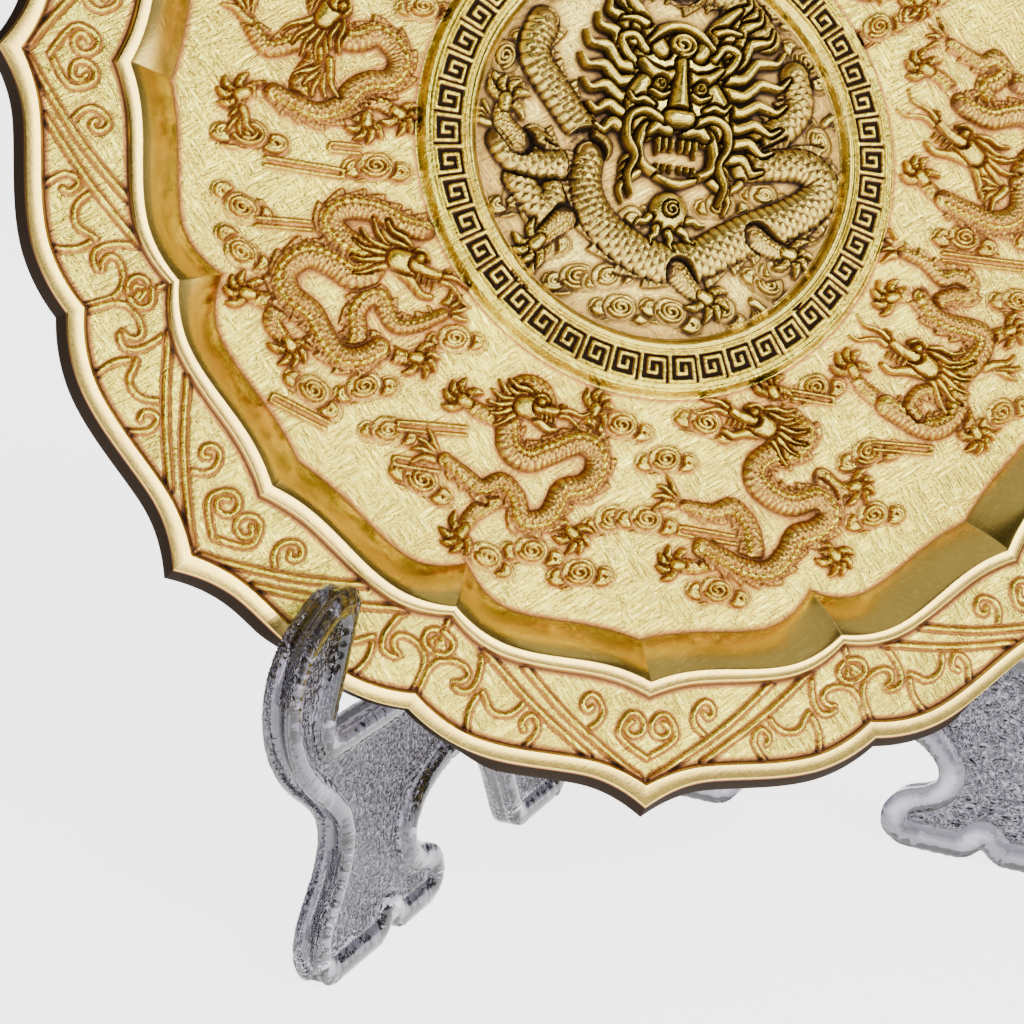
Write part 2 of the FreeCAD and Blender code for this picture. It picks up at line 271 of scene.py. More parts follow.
def speed_line(start, end, width=0.75):
    """Two long parallel lines with a rounded end, trailing from a cloud."""
    a, b = np.array(start, float), np.array(end, float)
    along = (b - a) / math.hypot(*(b - a))
    out = np.array((-along[1], along[0])) * width
    cap = b + along * width
    tip = cap + along * width * 0.4
    line = [a + out, b + out, cap + out * 0.7, tip, cap - out * 0.7, b - out, a - out]
    bead(line, 0.34, 0.8, trench=0.25)


def paw(spot, size=1.0):
    """A pad with five clawed toes spread like a fan."""
    for angle in (-118, -56, -20, 16, 58):
        toe = spot.inner(0, 0, angle)
        bead(toe.at([(0.4, 0), (1.7 * size, 0.45), (3.0 * size, 0.2), (4.3 * size, -0.9)]),
             0.80 * size, 1.7, taper=(1.25, 1.0, 0.95, 0.25), trench=0.25)
        dot(*toe.at([(2.3 * size, 0.4)])[0], 0.62 * size, 2.0, trench=0.0)
    bead(spot.at([(-1.2 * size, 0), (0.2 * size, 0)]), 1.15 * size, 1.9, taper=(0.9, 1.1), trench=0.15)


def leg(points, toes, half=1.7):
    """A scaled limb that ends in a paw; the paw follows the limb's last direction."""
    serpent(points, half, 1.6, taper=(1.3, 1.0, 0.7), pitch=1.2, fin=0.0, trench=0.4)
    (x0, y0), (x1, y1) = points[-2:]
    heading = math.degrees(math.atan2(y1 - y0, x1 - x0))
    paw(Spot(x1, y1, heading), toes)


def tuft(spot, locks=4, length=8.0):
    """A tail tuft or flame of wavy locks."""
    for index in range(locks):
        lean = (index - (locks - 1) / 2) * 1.9
        lock = wave(length * (1 - 0.07 * abs(lean)), 0.55, 1, lean * 0.9, lean * 0.35)
        bead(spot.at(lock), 0.72, 1.25, taper=(1.2, 1.0, 0.35), trench=0.25)


def head(spot):
    """A dragon's head seen from the side, with the snout along local +x."""
    spot = spot.inner(0, 0, 0, 1.12)
    mane = ((3.4, 7.5), (1.6, 8.6), (-0.3, 9.0), (-2.2, 8.0), (-4.0, 6.4))
    for index, (lean, length) in enumerate(mane):
        lock = wave(length, 0.6, 1, lean * 0.6, lean * 0.5)
        bead(spot.inner(-1.2, 0.4 - 0.5 * index, 180, 1, -1).at(lock), 0.62, 1.5,
             taper=(1.2, 1.0, 0.3), trench=0.25)
    for rise in (0.0, 1.3):
        horn = [(0.2, 2.0 - rise * 0.3), (-2.2, 3.6 - rise), (-4.6, 3.7 - rise * 1.2),
                (-6.4, 4.8 - rise * 1.4)]
        bead(spot.at(horn), 0.62, 1.9, taper=(1.2, 0.9, 0.4), trench=0.3)
    bead(spot.at([(-1.2, -1.5), (1.6, -2.3), (4.2, -3.6), (6.0, -3.3)]), 0.85, 1.5, taper=(1.4, 1, 0.7))
    bead(spot.at([(-2.0, -0.2), (0.6, 0.2), (2.0, 0.3)]), 2.3, 2.2, taper=(0.9, 1.0, 0.75))
    bead(spot.at([(1.2, 0.4), (3.6, 0.3), (6.1, 0.9), (7.2, 2.0)]), 1.05, 2.1,
         taper=(1.2, 1.0, 0.8, 0.75))
    for step in range(4):
        tooth = 2.4 + 1.05 * step
        bead(spot.at([(tooth, -0.9), (tooth + 0.25, -2.0)]), 0.3, 1.2, taper=(1, 0.4), trench=0.12)
    dot(*spot.at([(6.9, 1.9)])[0], 0.75, 2.5, trench=0.2)
    dot(*spot.at([(1.5, 1.7)])[0], 0.95, 2.7, trench=0.2)
    bead(spot.at([(0.2, 2.7), (1.6, 3.1), (3.0, 2.2)]), 0.4, 2.5, trench=0.15)
    for rise in (0.9, -1.0):
        whisker = wave(6.5, 0.7, 1, 1.2 * rise, 0.3 * rise)
        bead(spot.inner(6.6, 0.6 + 0.6 * rise).at(whisker), 0.42, 1.2, taper=(1.2, 0.9, 0.4), trench=0.25)


# Each dragon is drawn for a place `p` at the centre of the plate, which may be turned.
def dragon_over_left(p):
    """The dragon of the upper left: a long beaded loop with its head at the top."""
    leg(p.at([(-76.5, -0.5), (-81, 0.6), (-84.6, -1.0)]), 1.0)
    leg(p.at([(-58.5, 5.0), (-60.4, 1.0), (-60.2, -3.0)]), 0.95)
    leg(p.at([(-64.0, 2.0), (-58.5, 1.2), (-53.8, -0.6)]), 0.95)
    serpent(p.at([(-73.3, 1.0), (-73.2, 3.4), (-72.0, 5.6), (-70.7, 8.0), (-71.4, 10.4), (-74.4, 10.8),
                  (-77.4, 9.4), (-80.2, 8.8), (-82.4, 11.2), (-84.0, 13.6)]), 1.7, 1.8, -1,
                  taper=(1.2, 1.1, 0.9))
    tuft(p.inner(-83.6, 13.2, 118), 4, 6)
    serpent(p.at([(-71.0, 19.5), (-69.6, 15.6), (-66.6, 13.0), (-63.0, 12.8), (-59.4, 14.4),
                  (-56.2, 13.2), (-54.2, 10.4), (-54.4, 7.6), (-56.4, 5.4), (-60.0, 4.6), (-62.8, 2.8),
                  (-65.2, -0.6), (-69.4, -2.6), (-74.0, -1.6), (-78.4, 0.2)]), 2.35, 2.2, 1,
                  taper=(0.9, 1.1, 1.0, 0.8))
    head(p.inner(-68.5, 17.8, 68, 0.95, -1))
    tuft(p.inner(-68.0, 8.0, -112), 5, 8)
    tuft(p.inner(-84.0, -3.6, -90), 3, 5)


def dragon_left(p):
    """The dragon of the left: two coils with the head to the right."""
    leg(p.at([(-72, -38), (-77, -39.5), (-81, -38.6)]), 0.95)
    leg(p.at([(-74, -40), (-75.6, -43.5), (-72, -47.6)]), 0.95)
    leg(p.at([(-56.5, -45), (-51.5, -47.4), (-47.4, -47.4)]), 0.95)
    tuft(p.inner(-44.5, -38.8, 30), 4, 7)
    serpent(p.at([(-60.5, -48), (-59.5, -44), (-60, -40), (-58, -37), (-55.5, -36.5), (-54, -39),
                  (-52, -41.5), (-48, -41), (-43, -38.5)]), 1.7, 1.8, 1, taper=(1.3, 1.1, 0.7))
    serpent(p.at([(-47.5, -22.5), (-52, -22), (-57, -20), (-63, -20), (-66, -23), (-63, -26.4),
                  (-58.5, -28.5), (-57.6, -31.5), (-61, -33), (-65, -31), (-70, -30), (-74, -33.5),
                  (-73, -38), (-68.6, -41), (-66, -45), (-62.6, -48.6), (-58.6, -48.6), (-55, -46.5)]),
                  2.45, 2.3, -1, taper=(0.9, 1.1, 1.05, 0.9))
    head(p.inner(-50.5, -29.5, -22, 1.0))


def dragon_lower_left(p):
    """The dragon of the lower left: a loop at the top and a beaded coil below it."""
    leg(p.at([(-28, -57), (-33.5, -56.8), (-38, -54.6)]), 0.95)
    leg(p.at([(-17, -60), (-13, -57.6), (-11.5, -53.6)]), 0.9)
    leg(p.at([(-31, -73), (-35, -76.5), (-37, -80)]), 0.95)
    leg(p.at([(-19, -74), (-17.5, -76.5), (-14.8, -78.4)]), 0.9)
    tuft(p.inner(-41, -66.5, 155), 4, 7)
    serpent(p.at([(-21, -56.8), (-22, -51.8), (-26, -50.6), (-28.8, -54), (-28.8, -59), (-28, -63),
                  (-24.5, -64.7), (-20.5, -63), (-14.4, -60.4), (-10.8, -62), (-10.5, -66), (-13, -69),
                  (-17, -70.2), (-18.4, -73), (-20.4, -76), (-25, -76.5), (-26.6, -72.4),
                  (-29.6, -69.6), (-33.4, -71.2), (-37, -69), (-41, -66.4)]), 2.3, 2.2, 1,
                  taper=(0.8, 1.1, 1.1, 0.9, 0.6))
    head(p.inner(-24.2, -54.8, -10, 0.78))


def dragon_lower_right(p):
    """The dragon of the lower right: the head at the top left and a C of coils."""
    leg(p.at([(30, -56), (28, -51), (25.4, -46.6)]), 0.95)
    leg(p.at([(37, -63), (41, -65), (44.4, -64)]), 0.95)
    leg(p.at([(34, -74.5), (37.5, -76.4), (40.4, -78.4)]), 0.95)
    leg(p.at([(16, -80.6), (11, -82.6), (6.6, -82.8)]), 0.9)
    tuft(p.inner(8, -71, 158), 4, 7)
    serpent(p.at([(23, -79), (21.6, -74), (18, -70.6), (14, -71.8), (8, -71)]), 1.8, 1.9, 1,
                  taper=(1.3, 1.1, 0.6))
    serpent(p.at([(27, -52), (33, -54), (31, -58), (25.6, -59.4), (22.6, -62.4), (24, -66), (30, -68.6),
                  (36, -67), (39, -70), (36.4, -73.6), (32, -75.4), (30, -79), (26.6, -82.4),
                  (21.6, -82.6), (16, -80.6), (12, -79)]), 2.4, 2.3, 1, taper=(0.9, 1.1, 1.05, 0.8))
    head(p.inner(22.6, -53.4, 168, 0.95, -1))


def dragon_right_low(p):
    """The dragon right of the lower one: its head looks down to the left."""
    leg(p.at([(57.6, -23.6), (53.6, -23.8), (50.6, -24.8)]), 0.95)
    leg(p.at([(67, -45), (69, -48.6), (70.8, -51)]), 0.95)
    leg(p.at([(53, -47.6), (46, -44.4), (42.4, -40.4)]), 1.0)
    leg(p.at([(71, -34), (74, -30.6), (78, -28.6)]), 0.9)
    tuft(p.inner(54, -15.2, 168), 4, 6)
    serpent(p.at([(53, -15), (57.5, -16.3), (60, -18), (62.4, -19.6), (65.4, -18.6), (68.6, -20),
                  (68, -22.4), (64.5, -22.8), (61.6, -24.4), (61.4, -27)]), 1.6, 1.8, 1,
                  taper=(0.7, 1.1, 1.0))
    serpent(p.at([(57.5, -23.8), (58.8, -26), (61, -27.8), (64.8, -29), (68.7, -29.4), (71.6, -30.4),
                  (71.6, -33), (70, -35.6), (67.6, -38.4), (66, -41.6), (66.2, -45.6), (64.5, -48.8),
                  (61, -50.6), (57.5, -50.2), (54, -48.6), (50.6, -47)]), 2.3, 2.2, -1,
                  taper=(0.8, 1.1, 1.1, 1.0))
    serpent(p.at([(62.4, -44), (60.8, -42.8), (57.6, -43.6), (55.6, -46.4), (57.4, -48.4)]), 1.3, 1.9,
                  1)
    head(p.inner(57.6, -37.4, 160, 1.1, -1))
    tuft(p.inner(72.6, -37, 6), 3, 8)


def dragon_right(p):
    """The dragon of the right: a long C with the head inside it."""
    leg(p.at([(66, 17.6), (61, 22.4), (56.6, 24)]), 1.0)
    leg(p.at([(64, -4), (59.6, -1.8), (56.4, 1.2)]), 1.0)
    leg(p.at([(78, 24), (82, 23.6), (86, 24.6)]), 0.95)
    leg(p.at([(81, -3), (84, -1.4), (87.5, -1.6)]), 0.9)
    tuft(p.inner(63.5, 30, 160), 4, 7)
    serpent(p.at([(62.5, 30.5), (66, 28.6), (70, 27.2), (73, 28.6), (75.2, 26.4), (73.2, 23.8),
                  (70.6, 22.2), (71.4, 19.4)]), 1.8, 1.9, -1, taper=(0.6, 1.1, 1.1))
    serpent(p.at([(65, 18), (68.6, 16.4), (72.4, 15.8), (76, 17), (80, 17.6), (83.4, 15.6),
                  (84.4, 12.4), (82.8, 9.2), (80.6, 6.6), (79.6, 3.4), (80, 0), (79.4, -3.4),
                  (76.6, -5.8), (72.8, -6.4), (69, -5.4), (65.2, -4.2), (62, -3)]), 2.4, 2.3, 1,
                  taper=(0.9, 1.1, 1.1, 1.1, 0.9))
    head(p.inner(66.5, 8.4, 152, 1.15, -1))
    tuft(p.inner(76, 1, -160), 4, 6)


# clouds on the floor of the plate: place, size and turn of each
FLOOR_CLOUDS = (
    (-57.4, -11.6, 0.85, 8), (-82, -8.5, 0.95, 0), (-83, -22, 0.8, 160), (-82.5, -30.5, 0.75, 150),
    (-40, -43, 0.7, 10), (-57, -54, 0.8, 20), (-45, -71, 0.85, -20), (-67, -56, 0.8, -30),
    (-52, -62, 0.7, 0), (-5.5, -56.6, 0.8, 0), (-22.5, -82.6, 0.8, 0), (-6.6, -75, 0.8, 20),
    (-12.6, -86, 0.85, 10), (-31.5, -84.4, 0.7, -20), (12, -54.6, 0.85, -10), (4, -62.4, 0.8, 10),
    (0.6, -74.6, 0.8, 0), (35, -45, 0.85, 20), (47.4, -57, 0.95, 25), (49, -69.6, 0.85, 20),
    (16, -87.4, 0.85, 0), (67.4, -10.8, 0.95, 0), (80, -22.6, 0.85, 0), (77, -46, 0.85, 35),
    (84.6, -8, 0.8, 20), (46.4, 31.4, 0.85, 35), (56, 38, 0.8, 40), (-50, 21, 0.7, 10),
    (-52, 38, 0.9, -30), (-78, 26, 0.8, -30),
)
# clouds of the upper half, laid after the dragons
UPPER_CLOUDS = (
    (38, 62, 0.85, 140), (20, 58, 0.85, 170), (-20, 60, 0.85, 190), (-42, 62, 0.8, 200),
    (60, 50, 0.8, 120), (0, 86, 0.85, 180), (-62, 52, 0.8, 220),
)
SPEED_LINES = (
    ((-61, -8.6), (-66, -8.7)), ((-79, -13.1), (-65, -13.6)), ((-80, -24.8), (-69.5, -24.4)),
    ((-37, -60.5), (-49.5, -60.6)), ((-42, -68), (-50, -67.4)), ((62, -14.9), (84, -14.9)),
    ((48, -55.4), (60, -55.2)), ((28, -46.6), (38, -47.2)), ((-64, -62), (-74, -58)),
    ((20, -77), (8, -76)),
)


def clouds(places):
    """A cloud at every (x, y, size, turn)."""
    for x, y, size, turn in places:
        cloud(Spot(x, y, turn, size))


def paint_floor():
    """The ring of dragons, clouds and trailing lines round the medallion."""
    clouds(FLOOR_CLOUDS)
    for start, end in SPEED_LINES:
        speed_line(start, end)
    for dragon in (dragon_over_left, dragon_left, dragon_lower_left, dragon_lower_right,
                   dragon_right_low, dragon_right):
        dragon(Spot())
    dragon_lower_left(Spot(turn=160))
    dragon_lower_right(Spot(turn=-201))
    dragon_left(Spot(turn=-75))
    clouds(UPPER_CLOUDS)


FRET_INNER = 41.5
FRET_OUTER = 47.4
FRET_UNITS = 46
FRET_BAR = 0.54
FRET_RISE = 0.72
# one unit of the key pattern: share of the unit's width, share of the channel's width
FRET_SPIRAL = ((0.0, 0.03), (0.0, 0.97), (0.80, 0.97), (0.80, 0.24), (0.26, 0.24), (0.26, 0.70),
               (0.54, 0.70), (0.54, 0.47))
FRET_CLOSING = ((0.0, 0.03), (1.0, 0.03))


def with_middles(path):
    """The path's points with the middle of every run between them."""
    points = []
    for (u, v), (u2, v2) in zip(path, path[1:]):
        for share in (0.0, 0.5):
            points.append((u + (u2 - u) * share, v + (v2 - v) * share))
    return points + [path[-1]]


def paint_fret():
    """Square spirals in the sunk channel of the medallion's ring."""
    for unit in range(FRET_UNITS):
        for path in (FRET_SPIRAL, FRET_CLOSING):
            placed = []
            for u, v in with_middles(path):
                angle = (unit + u) * 2 * math.pi / FRET_UNITS
                radius = FRET_INNER + (FRET_OUTER - FRET_INNER) * v
                placed.append((radius * math.cos(angle), radius * math.sin(angle)))
            flat_bar(placed, FRET_BAR, FRET_RISE)


# clouds in the hollow of the ring: place, size and turn of each
HOLLOW_CLOUDS = (
    (-28.5, -14, 0.9, 20), (-16, -28.5, 0.95, 10), (-7, -33.5, 0.8, 0), (3.5, -33.4, 0.85, -10),
    (24, -25.5, 0.8, -20), (-24, -23.4, 0.7, 30), (33.4, 5, 0.7, -60), (14, -31.4, 0.7, -20),
    (-33, 14, 0.8, 70), (30, 21, 0.8, -40), (-20, 31, 0.8, 30), (22, 31, 0.7, -20),
    (-32, 5, 0.6, 80), (-19, -13, 0.6, -30), (-10, -27.4, 0.65, 20), (13, -10.6, 0.7, 10),
    (22, -7.4, 0.6, 0), (-6, -15.6, 0.5, 40), (34.4, -11, 0.6, 60), (26.6, -20.6, 0.6, 30),
)


def body(points, half=3.9, back=1, taper=(1.0, 1.0)):
    """A thick length of the large dragon, without beads."""
    serpent(points, half, 2.9, back, taper, pitch=2.5, fin=1.9, beads=0.0)


def paint_medallion():
    """The large dragon, seen from the front, in the hollow of the ring."""
    clouds(HOLLOW_CLOUDS)
    body([(-27, -2), (-22, -8), (-24, -16), (-30, -10)], 3.0)
    body([(2, 32), (9, 33.4), (16, 30.6), (21, 25)], 3.2, -1)
    body([(-10, 31), (-4, 34), (3, 33.4)], 3.0, -1)
    body([(-26, 22), (-27.6, 15), (-23, 8), (-18, 2), (-14, -2)], 3.3, 1)
    body([(19, 2), (25, 6.6), (28.6, 12), (27.4, 18)], 3.3, 1)
    body([(-33.6, -3), (-30, -6.6), (-23, -6.8), (-16, -5.4)], 3.0, 1)
    body([(-15.6, -4), (-16, -10), (-13.4, -16), (-8, -20.6), (0, -23.4), (8, -22), (14, -18.4),
          (20, -15), (27, -11.6), (32.6, -7.6), (34.4, -3.4), (30.4, -0.4), (24, -0.8), (17, -2.4)],
         3.9, -1, taper=(0.8, 1.05, 1.1, 1.05, 0.75))
    tufts = ((-25.4, -27, 215), (20.4, -29, -50), (-35, 0, 150), (34.6, 9.4, 20), (16.4, -5.6, 200))
    for x, y, turn in tufts:
        tuft(Spot(x, y, turn, 0.75), 4, 7)
    leg([(-30, -3), (-33.4, 1), (-33, 5)], 1.15, 2.1)
    leg([(-20, -17), (-23, -20), (-25.4, -22.6)], 1.1, 2.0)
    leg([(20, -16), (24, -18), (28, -18.6)], 1.1, 2.0)
    leg([(4, -25), (7, -28), (10.4, -29.6)], 1.1, 2.0)
    mane()
    face()
    pearl()


FACE_MIDDLE = 2.2


def mane():
    """Wavy locks that spread from both sides of the large head."""
    for side, strands, length in ((1, 9, 17.5), (-1, 8, 14.5)):
        for index in range(strands):
            rise = 56 - 11 * index
            root = Spot(FACE_MIDDLE + side * (8.4 - 0.25 * index), 20.5 - 2.35 * index,
                        rise if side > 0 else 180 - rise, 1.0, side)
            lock = wave(length - 1.1 * abs(index - 3.5), 1.15, 2, 2.2, 0)
            bead(root.at(lock), 1.22, 2.7, taper=(1.2, 1.0, 0.95, 0.35), trench=0.3)


def face():
    """The head of the large dragon: horns, brow, eyes, nose, whiskers and teeth."""
    bead([(-3.4, 16.4), (2.2, 17.6), (7.8, 16.4)], 5.6, 2.6, taper=(0.8, 1.0, 0.8))
    bead([(-1.6, 9.0), (6.0, 9.0)], 6.0, 2.4)
    for side in (-1, 1):
        half_face(side)
    bead([(2.2, 16.8), (2.2, 12.0), (2.2, 8.0), (2.2, 5.6)], 2.3, 4.2, taper=(0.5, 0.65, 0.9, 1.2))
    bead([(0.6, 5.4), (3.8, 5.4)], 1.9, 4.8, trench=0.3)
    bead([(-4.6, 20.4), (-1.4, 23.4), (2.2, 24.4), (5.8, 23.4), (9.0, 20.4)], 1.15, 3.2,
         taper=(0.5, 1, 1, 1, 0.5))
    bead([(2.2 + x, 20.4 + y) for x, y in spiral(2.0, 2.8, 0.5, 0.8, 270)], 0.6, 3.6, trench=0.3)
    bead([(-1.8, -6.6), (2.2, -7.6), (6.2, -6.6)], 1.1, 2.6, taper=(0.5, 1, 0.5))


PEARL = (1.4, -13.2)


def pearl():
    """The pearl below the chin, with a spiral on it and five flames under it."""
    dot(*PEARL, 4.0, 3.6, trench=0.5)
    bead([(1.2 + x, -13.2 + y) for x, y in spiral(1.6, 1.7, 0.3, 0.9, 60)], 0.4, 3.9, trench=0.25)
    for angle in (200, 235, 270, 305, 340):
        flame = Spot(*PEARL, angle).inner(4.3, 0)
        bead(flame.at([(0, 0), (1.2, 0.6), (2.4, 0.2), (3.6, 0.9)]), 0.75, 1.9,
             taper=(1.2, 0.9, 0.3), trench=0.2)


def half_face(side):
    """What the face has on each side, as points from its middle line."""
    def at(*points):
        return [(FACE_MIDDLE + side * x, y) for x, y in points]

    bead(at((4.0, 19.0), (6.4, 22.5), (8.4, 26.0), (12.0, 29.4)), 1.7, 3.4, taper=(1.1, 1.0, 0.85, 0.5))
    bead(at((7.4, 24.0), (9.8, 24.8), (12.6, 24.4)), 1.0, 2.9, taper=(1.0, 0.8, 0.4), trench=0.3)
    bead(at((7.8, 15.5), (10.6, 17.0), (12.4, 20.4), (9.6, 21.4), (7.2, 18.6)), 0.95, 2.6, trench=0.3)
    bead(at((6.6, 2.0), (8.6, 5.2), (8.8, 9.2), (7.2, 12.4)), 2.3, 2.8, taper=(0.8, 1.0, 1.0, 0.8))
    for step in range(4):
        bead(at((7.6, -2.4 - 1.2 * step), (10.4 + 0.3 * step, -3.6 - 1.9 * step),
                (11.6 - 0.3 * step, -6.6 - 2.0 * step)), 0.75, 2.0, taper=(1.2, 1.0, 0.35), trench=0.3)
    bead(at((3.6, 3.2), (6.6, 3.0), (8.0, -0.6), (7.2, -4.2), (3.8, -6.2)), 1.1, 3.0, taper=(1, 1, 0.8))
    bead(at((1.9, 3.4), (4.2, 3.6), (6.0, 2.0)), 1.5, 3.6, taper=(1.1, 1.0, 0.5))
    for step in range(3):
        tooth = 1.0 + 1.45 * step
        bead(at((tooth, 0.9), (tooth, -0.9 - (0.9 if step == 2 else 0.0))), 0.55, 2.6,
             taper=(1, 0.5), trench=0.15)
        bead(at((tooth, -4.9), (tooth, -3.9)), 0.42, 2.2, taper=(1, 0.6), trench=0.15)
    bead(at((1.0, 14.4), (3.4, 13.6), (6.2, 14.4), (8.4, 16.2)), 1.15, 4.0, taper=(1.1, 1.2, 0.6))
    bead(at((2.0, 10.6), (4.0, 9.6), (6.2, 10.4)), 0.7, 3.4, taper=(0.6, 1.0, 0.6), trench=0.3)
    dot(*at((4.3, 11.9))[0], 1.45, 4.2, trench=0.35)
    dot(*at((4.3, 11.9))[0], 0.5, 4.6, trench=0.25)
    bead(at((5.6, 7.6), (7.4, 8.6), (9.4, 8.0), (10.8, 9.6)), 0.8, 3.0, taper=(1.0, 1.0, 0.4),
         trench=0.3)
    bead(at((3.4, 4.6), (7.0, 6.2), (10.2, 4.6), (10.6, 0.6), (8.8, -3.2), (10.2, -7.2), (9.2, -11.0)),
         0.75, 3.6, taper=(1.3, 1.2, 1.0, 0.9, 0.4), trench=0.35)
    dot(*at((1.6, 5.0))[0], 1.5, 4.6, trench=0.3)


def polar(angle, radius):
    """The point at an angle in degrees and a radius."""
    return (radius * math.cos(math.radians(angle)), radius * math.sin(math.radians(angle)))


# strokes of half a lobe of the rim: degrees from the tip, share of the tip's radius
RIM_BEADS = (
    ((0.5, 0.955), (2.5, 0.936), (8.0, 0.882), (13.4, 0.829)),
    ((5.5, 0.932), (11.5, 0.879), (18.0, 0.826)),
)
RIM_CURLS = (
    ((0.0, 0.927), (1.9, 0.910), (2.9, 0.896), (2.75, 0.880), (2.1, 0.864), (1.2, 0.862),
     (0.5, 0.871), (0.3, 0.883), (0.7, 0.894), (1.5, 0.897), (2.1, 0.892), (2.2, 0.883),
     (1.6, 0.875)),
    ((5.7, 0.893), (4.8, 0.880), (4.6, 0.864), (5.2, 0.849), (6.0, 0.843), (6.7, 0.850),
     (6.85, 0.862), (6.2, 0.870), (5.8, 0.862)),
    ((11.4, 0.938), (10.9, 0.924), (10.6, 0.911), (10.9, 0.897), (11.4, 0.892), (12.0, 0.897),
     (12.3, 0.908), (11.9, 0.916)),
    ((16.9, 0.942), (17.2, 0.927), (17.3, 0.911), (17.1, 0.896), (16.7, 0.883)),
    ((16.7, 0.883), (16.1, 0.892), (15.6, 0.903), (14.8, 0.907), (13.7, 0.903), (13.0, 0.892),
     (12.6, 0.880), (12.3, 0.870)),
    ((22.3, 0.923), (22.3, 0.900), (22.3, 0.885), (21.8, 0.868), (21.0, 0.860), (19.8, 0.857),
     (18.9, 0.860), (18.5, 0.868), (18.7, 0.877), (19.1, 0.883), (19.6, 0.886)),
    ((19.4, 0.892), (18.7, 0.894), (18.0, 0.891), (17.7, 0.883), (17.5, 0.871), (17.6, 0.855),
     (17.8, 0.840), (18.2, 0.828)),
    ((22.5, 0.806), (22.5, 0.832), (22.1, 0.842), (21.7, 0.850), (22.2, 0.853), (22.5, 0.845)),
    ((22.5, 0.826), (21.2, 0.832), (20.9, 0.845), (21.4, 0.857), (22.3, 0.860)),
)


def softened(points):
    """The points with every corner cut off, ends kept."""
    cut = [points[0]]
    for (x0, y0), (x1, y1) in zip(points, points[1:]):
        cut.append((0.75 * x0 + 0.25 * x1, 0.75 * y0 + 0.25 * y1))
        cut.append((0.25 * x0 + 0.75 * x1, 0.25 * y0 + 0.75 * y1))
    return cut + [points[-1]]


def paint_rim():
    """The scrolls of the rim's field, the same in every half lobe."""
    for lobe in range(LOBES):
        for side in (1, -1):
            tip = lobe * 2 * HALF_LOBE
            for stroke in RIM_CURLS:
                points = [polar(tip + side * angle, radius * EDGE[0]) for angle, radius in stroke]
                bead(softened(points), 0.46, 0.66, trench=0.45, depth=-0.16)
            for stroke in RIM_BEADS:
                points = [polar(tip + side * angle, radius * EDGE[0]) for angle, radius in stroke]
                bead(points, 0.50, 0.62, trench=0.60, depth=-0.20)


def blurred(values, radius):
    """Box blur, twice, with a radius in millimetres."""
    reach = max(1, int(round(radius / CELL)))
    for _ in range(2):
        for axis in (0, 1):
            padded = np.concatenate([np.take(values, [0] * (reach + 1), axis), values,
                                     np.take(values, [-1] * reach, axis)], axis)
            total = np.cumsum(padded, axis, dtype=np.float64)
            size = values.shape[axis]
            upper = np.take(total, np.arange(2 * reach + 1, 2 * reach + 1 + size), axis)
            lower = np.take(total, np.arange(0, size), axis)
            values = ((upper - lower) / (2 * reach + 1)).astype(np.float32)
    return values


def sample(grid, x, y):
    """Bilinear reading of the map at points of the plate."""
    u = np.clip((x + REACH) / CELL, 0, COUNT - 1.001)
    v = np.clip((y + REACH) / CELL, 0, COUNT - 1.001)
    j, i = u.astype(int), v.astype(int)
    u, v = u - j, v - i
    low = grid[i, j] * (1 - u) + grid[i, j + 1] * u
    high = grid[i + 1, j] * (1 - u) + grid[i + 1, j + 1] * u
    return low * (1 - v) + high * v


# ------------------------------------------------------------ the plate's surface
def outline(family, angles):
    """Radius of a lobed outline at every angle, in degrees from a tip."""
    tip, waist, shoulder, notch = family
    a = np.abs((angles + HALF_LOBE) % (2 * HALF_LOBE) - HALF_LOBE)
    near_tip = waist + (tip - waist) * np.clip(1 - a / WAIST_ANGLE, 0, 1) ** 2.2
    s = np.clip((a - WAIST_ANGLE) / (SHOULDER_ANGLE - WAIST_ANGLE), 0, 1)
    middle = waist + (shoulder - waist) * s * s * (3 - 2 * s)
    s = np.clip((a - SHOULDER_ANGLE) / (HALF_LOBE - SHOULDER_ANGLE), 0, 1)
    near_notch = shoulder - (shoulder - notch) * s ** 1.9
    return np.where(a <= WAIST_ANGLE, near_tip, np.where(a <= SHOULDER_ANGLE, middle, near_notch))


FRET_FLOOR = 1.7
# radius and height above the floor, from the middle over the ring
MEDALLION_PROFILE = (
    (0.0, 0.9), (20.0, 0.7), (33.0, 0.3), (38.4, 0.0), (38.9, 0.3), (39.4, 1.7), (39.7, 2.2),
    (40.1, 2.35), (40.5, 2.1), (40.7, 2.1), (41.0, 2.4), (41.25, 2.3), (41.45, FRET_FLOOR),
    (47.4, FRET_FLOOR), (47.6, 2.3), (47.8, 2.45), (48.1, 2.4), (48.3, 2.1), (48.5, 2.1),
    (48.9, 2.3), (49.2, 2.1), (49.5, 1.4), (49.9, 0.4), (50.3, 0.0), (60.0, 0.0),
)
HOLLOW_RADIUS = 38.6
RING_RADIUS = 50.5
RIM_START = 100.0


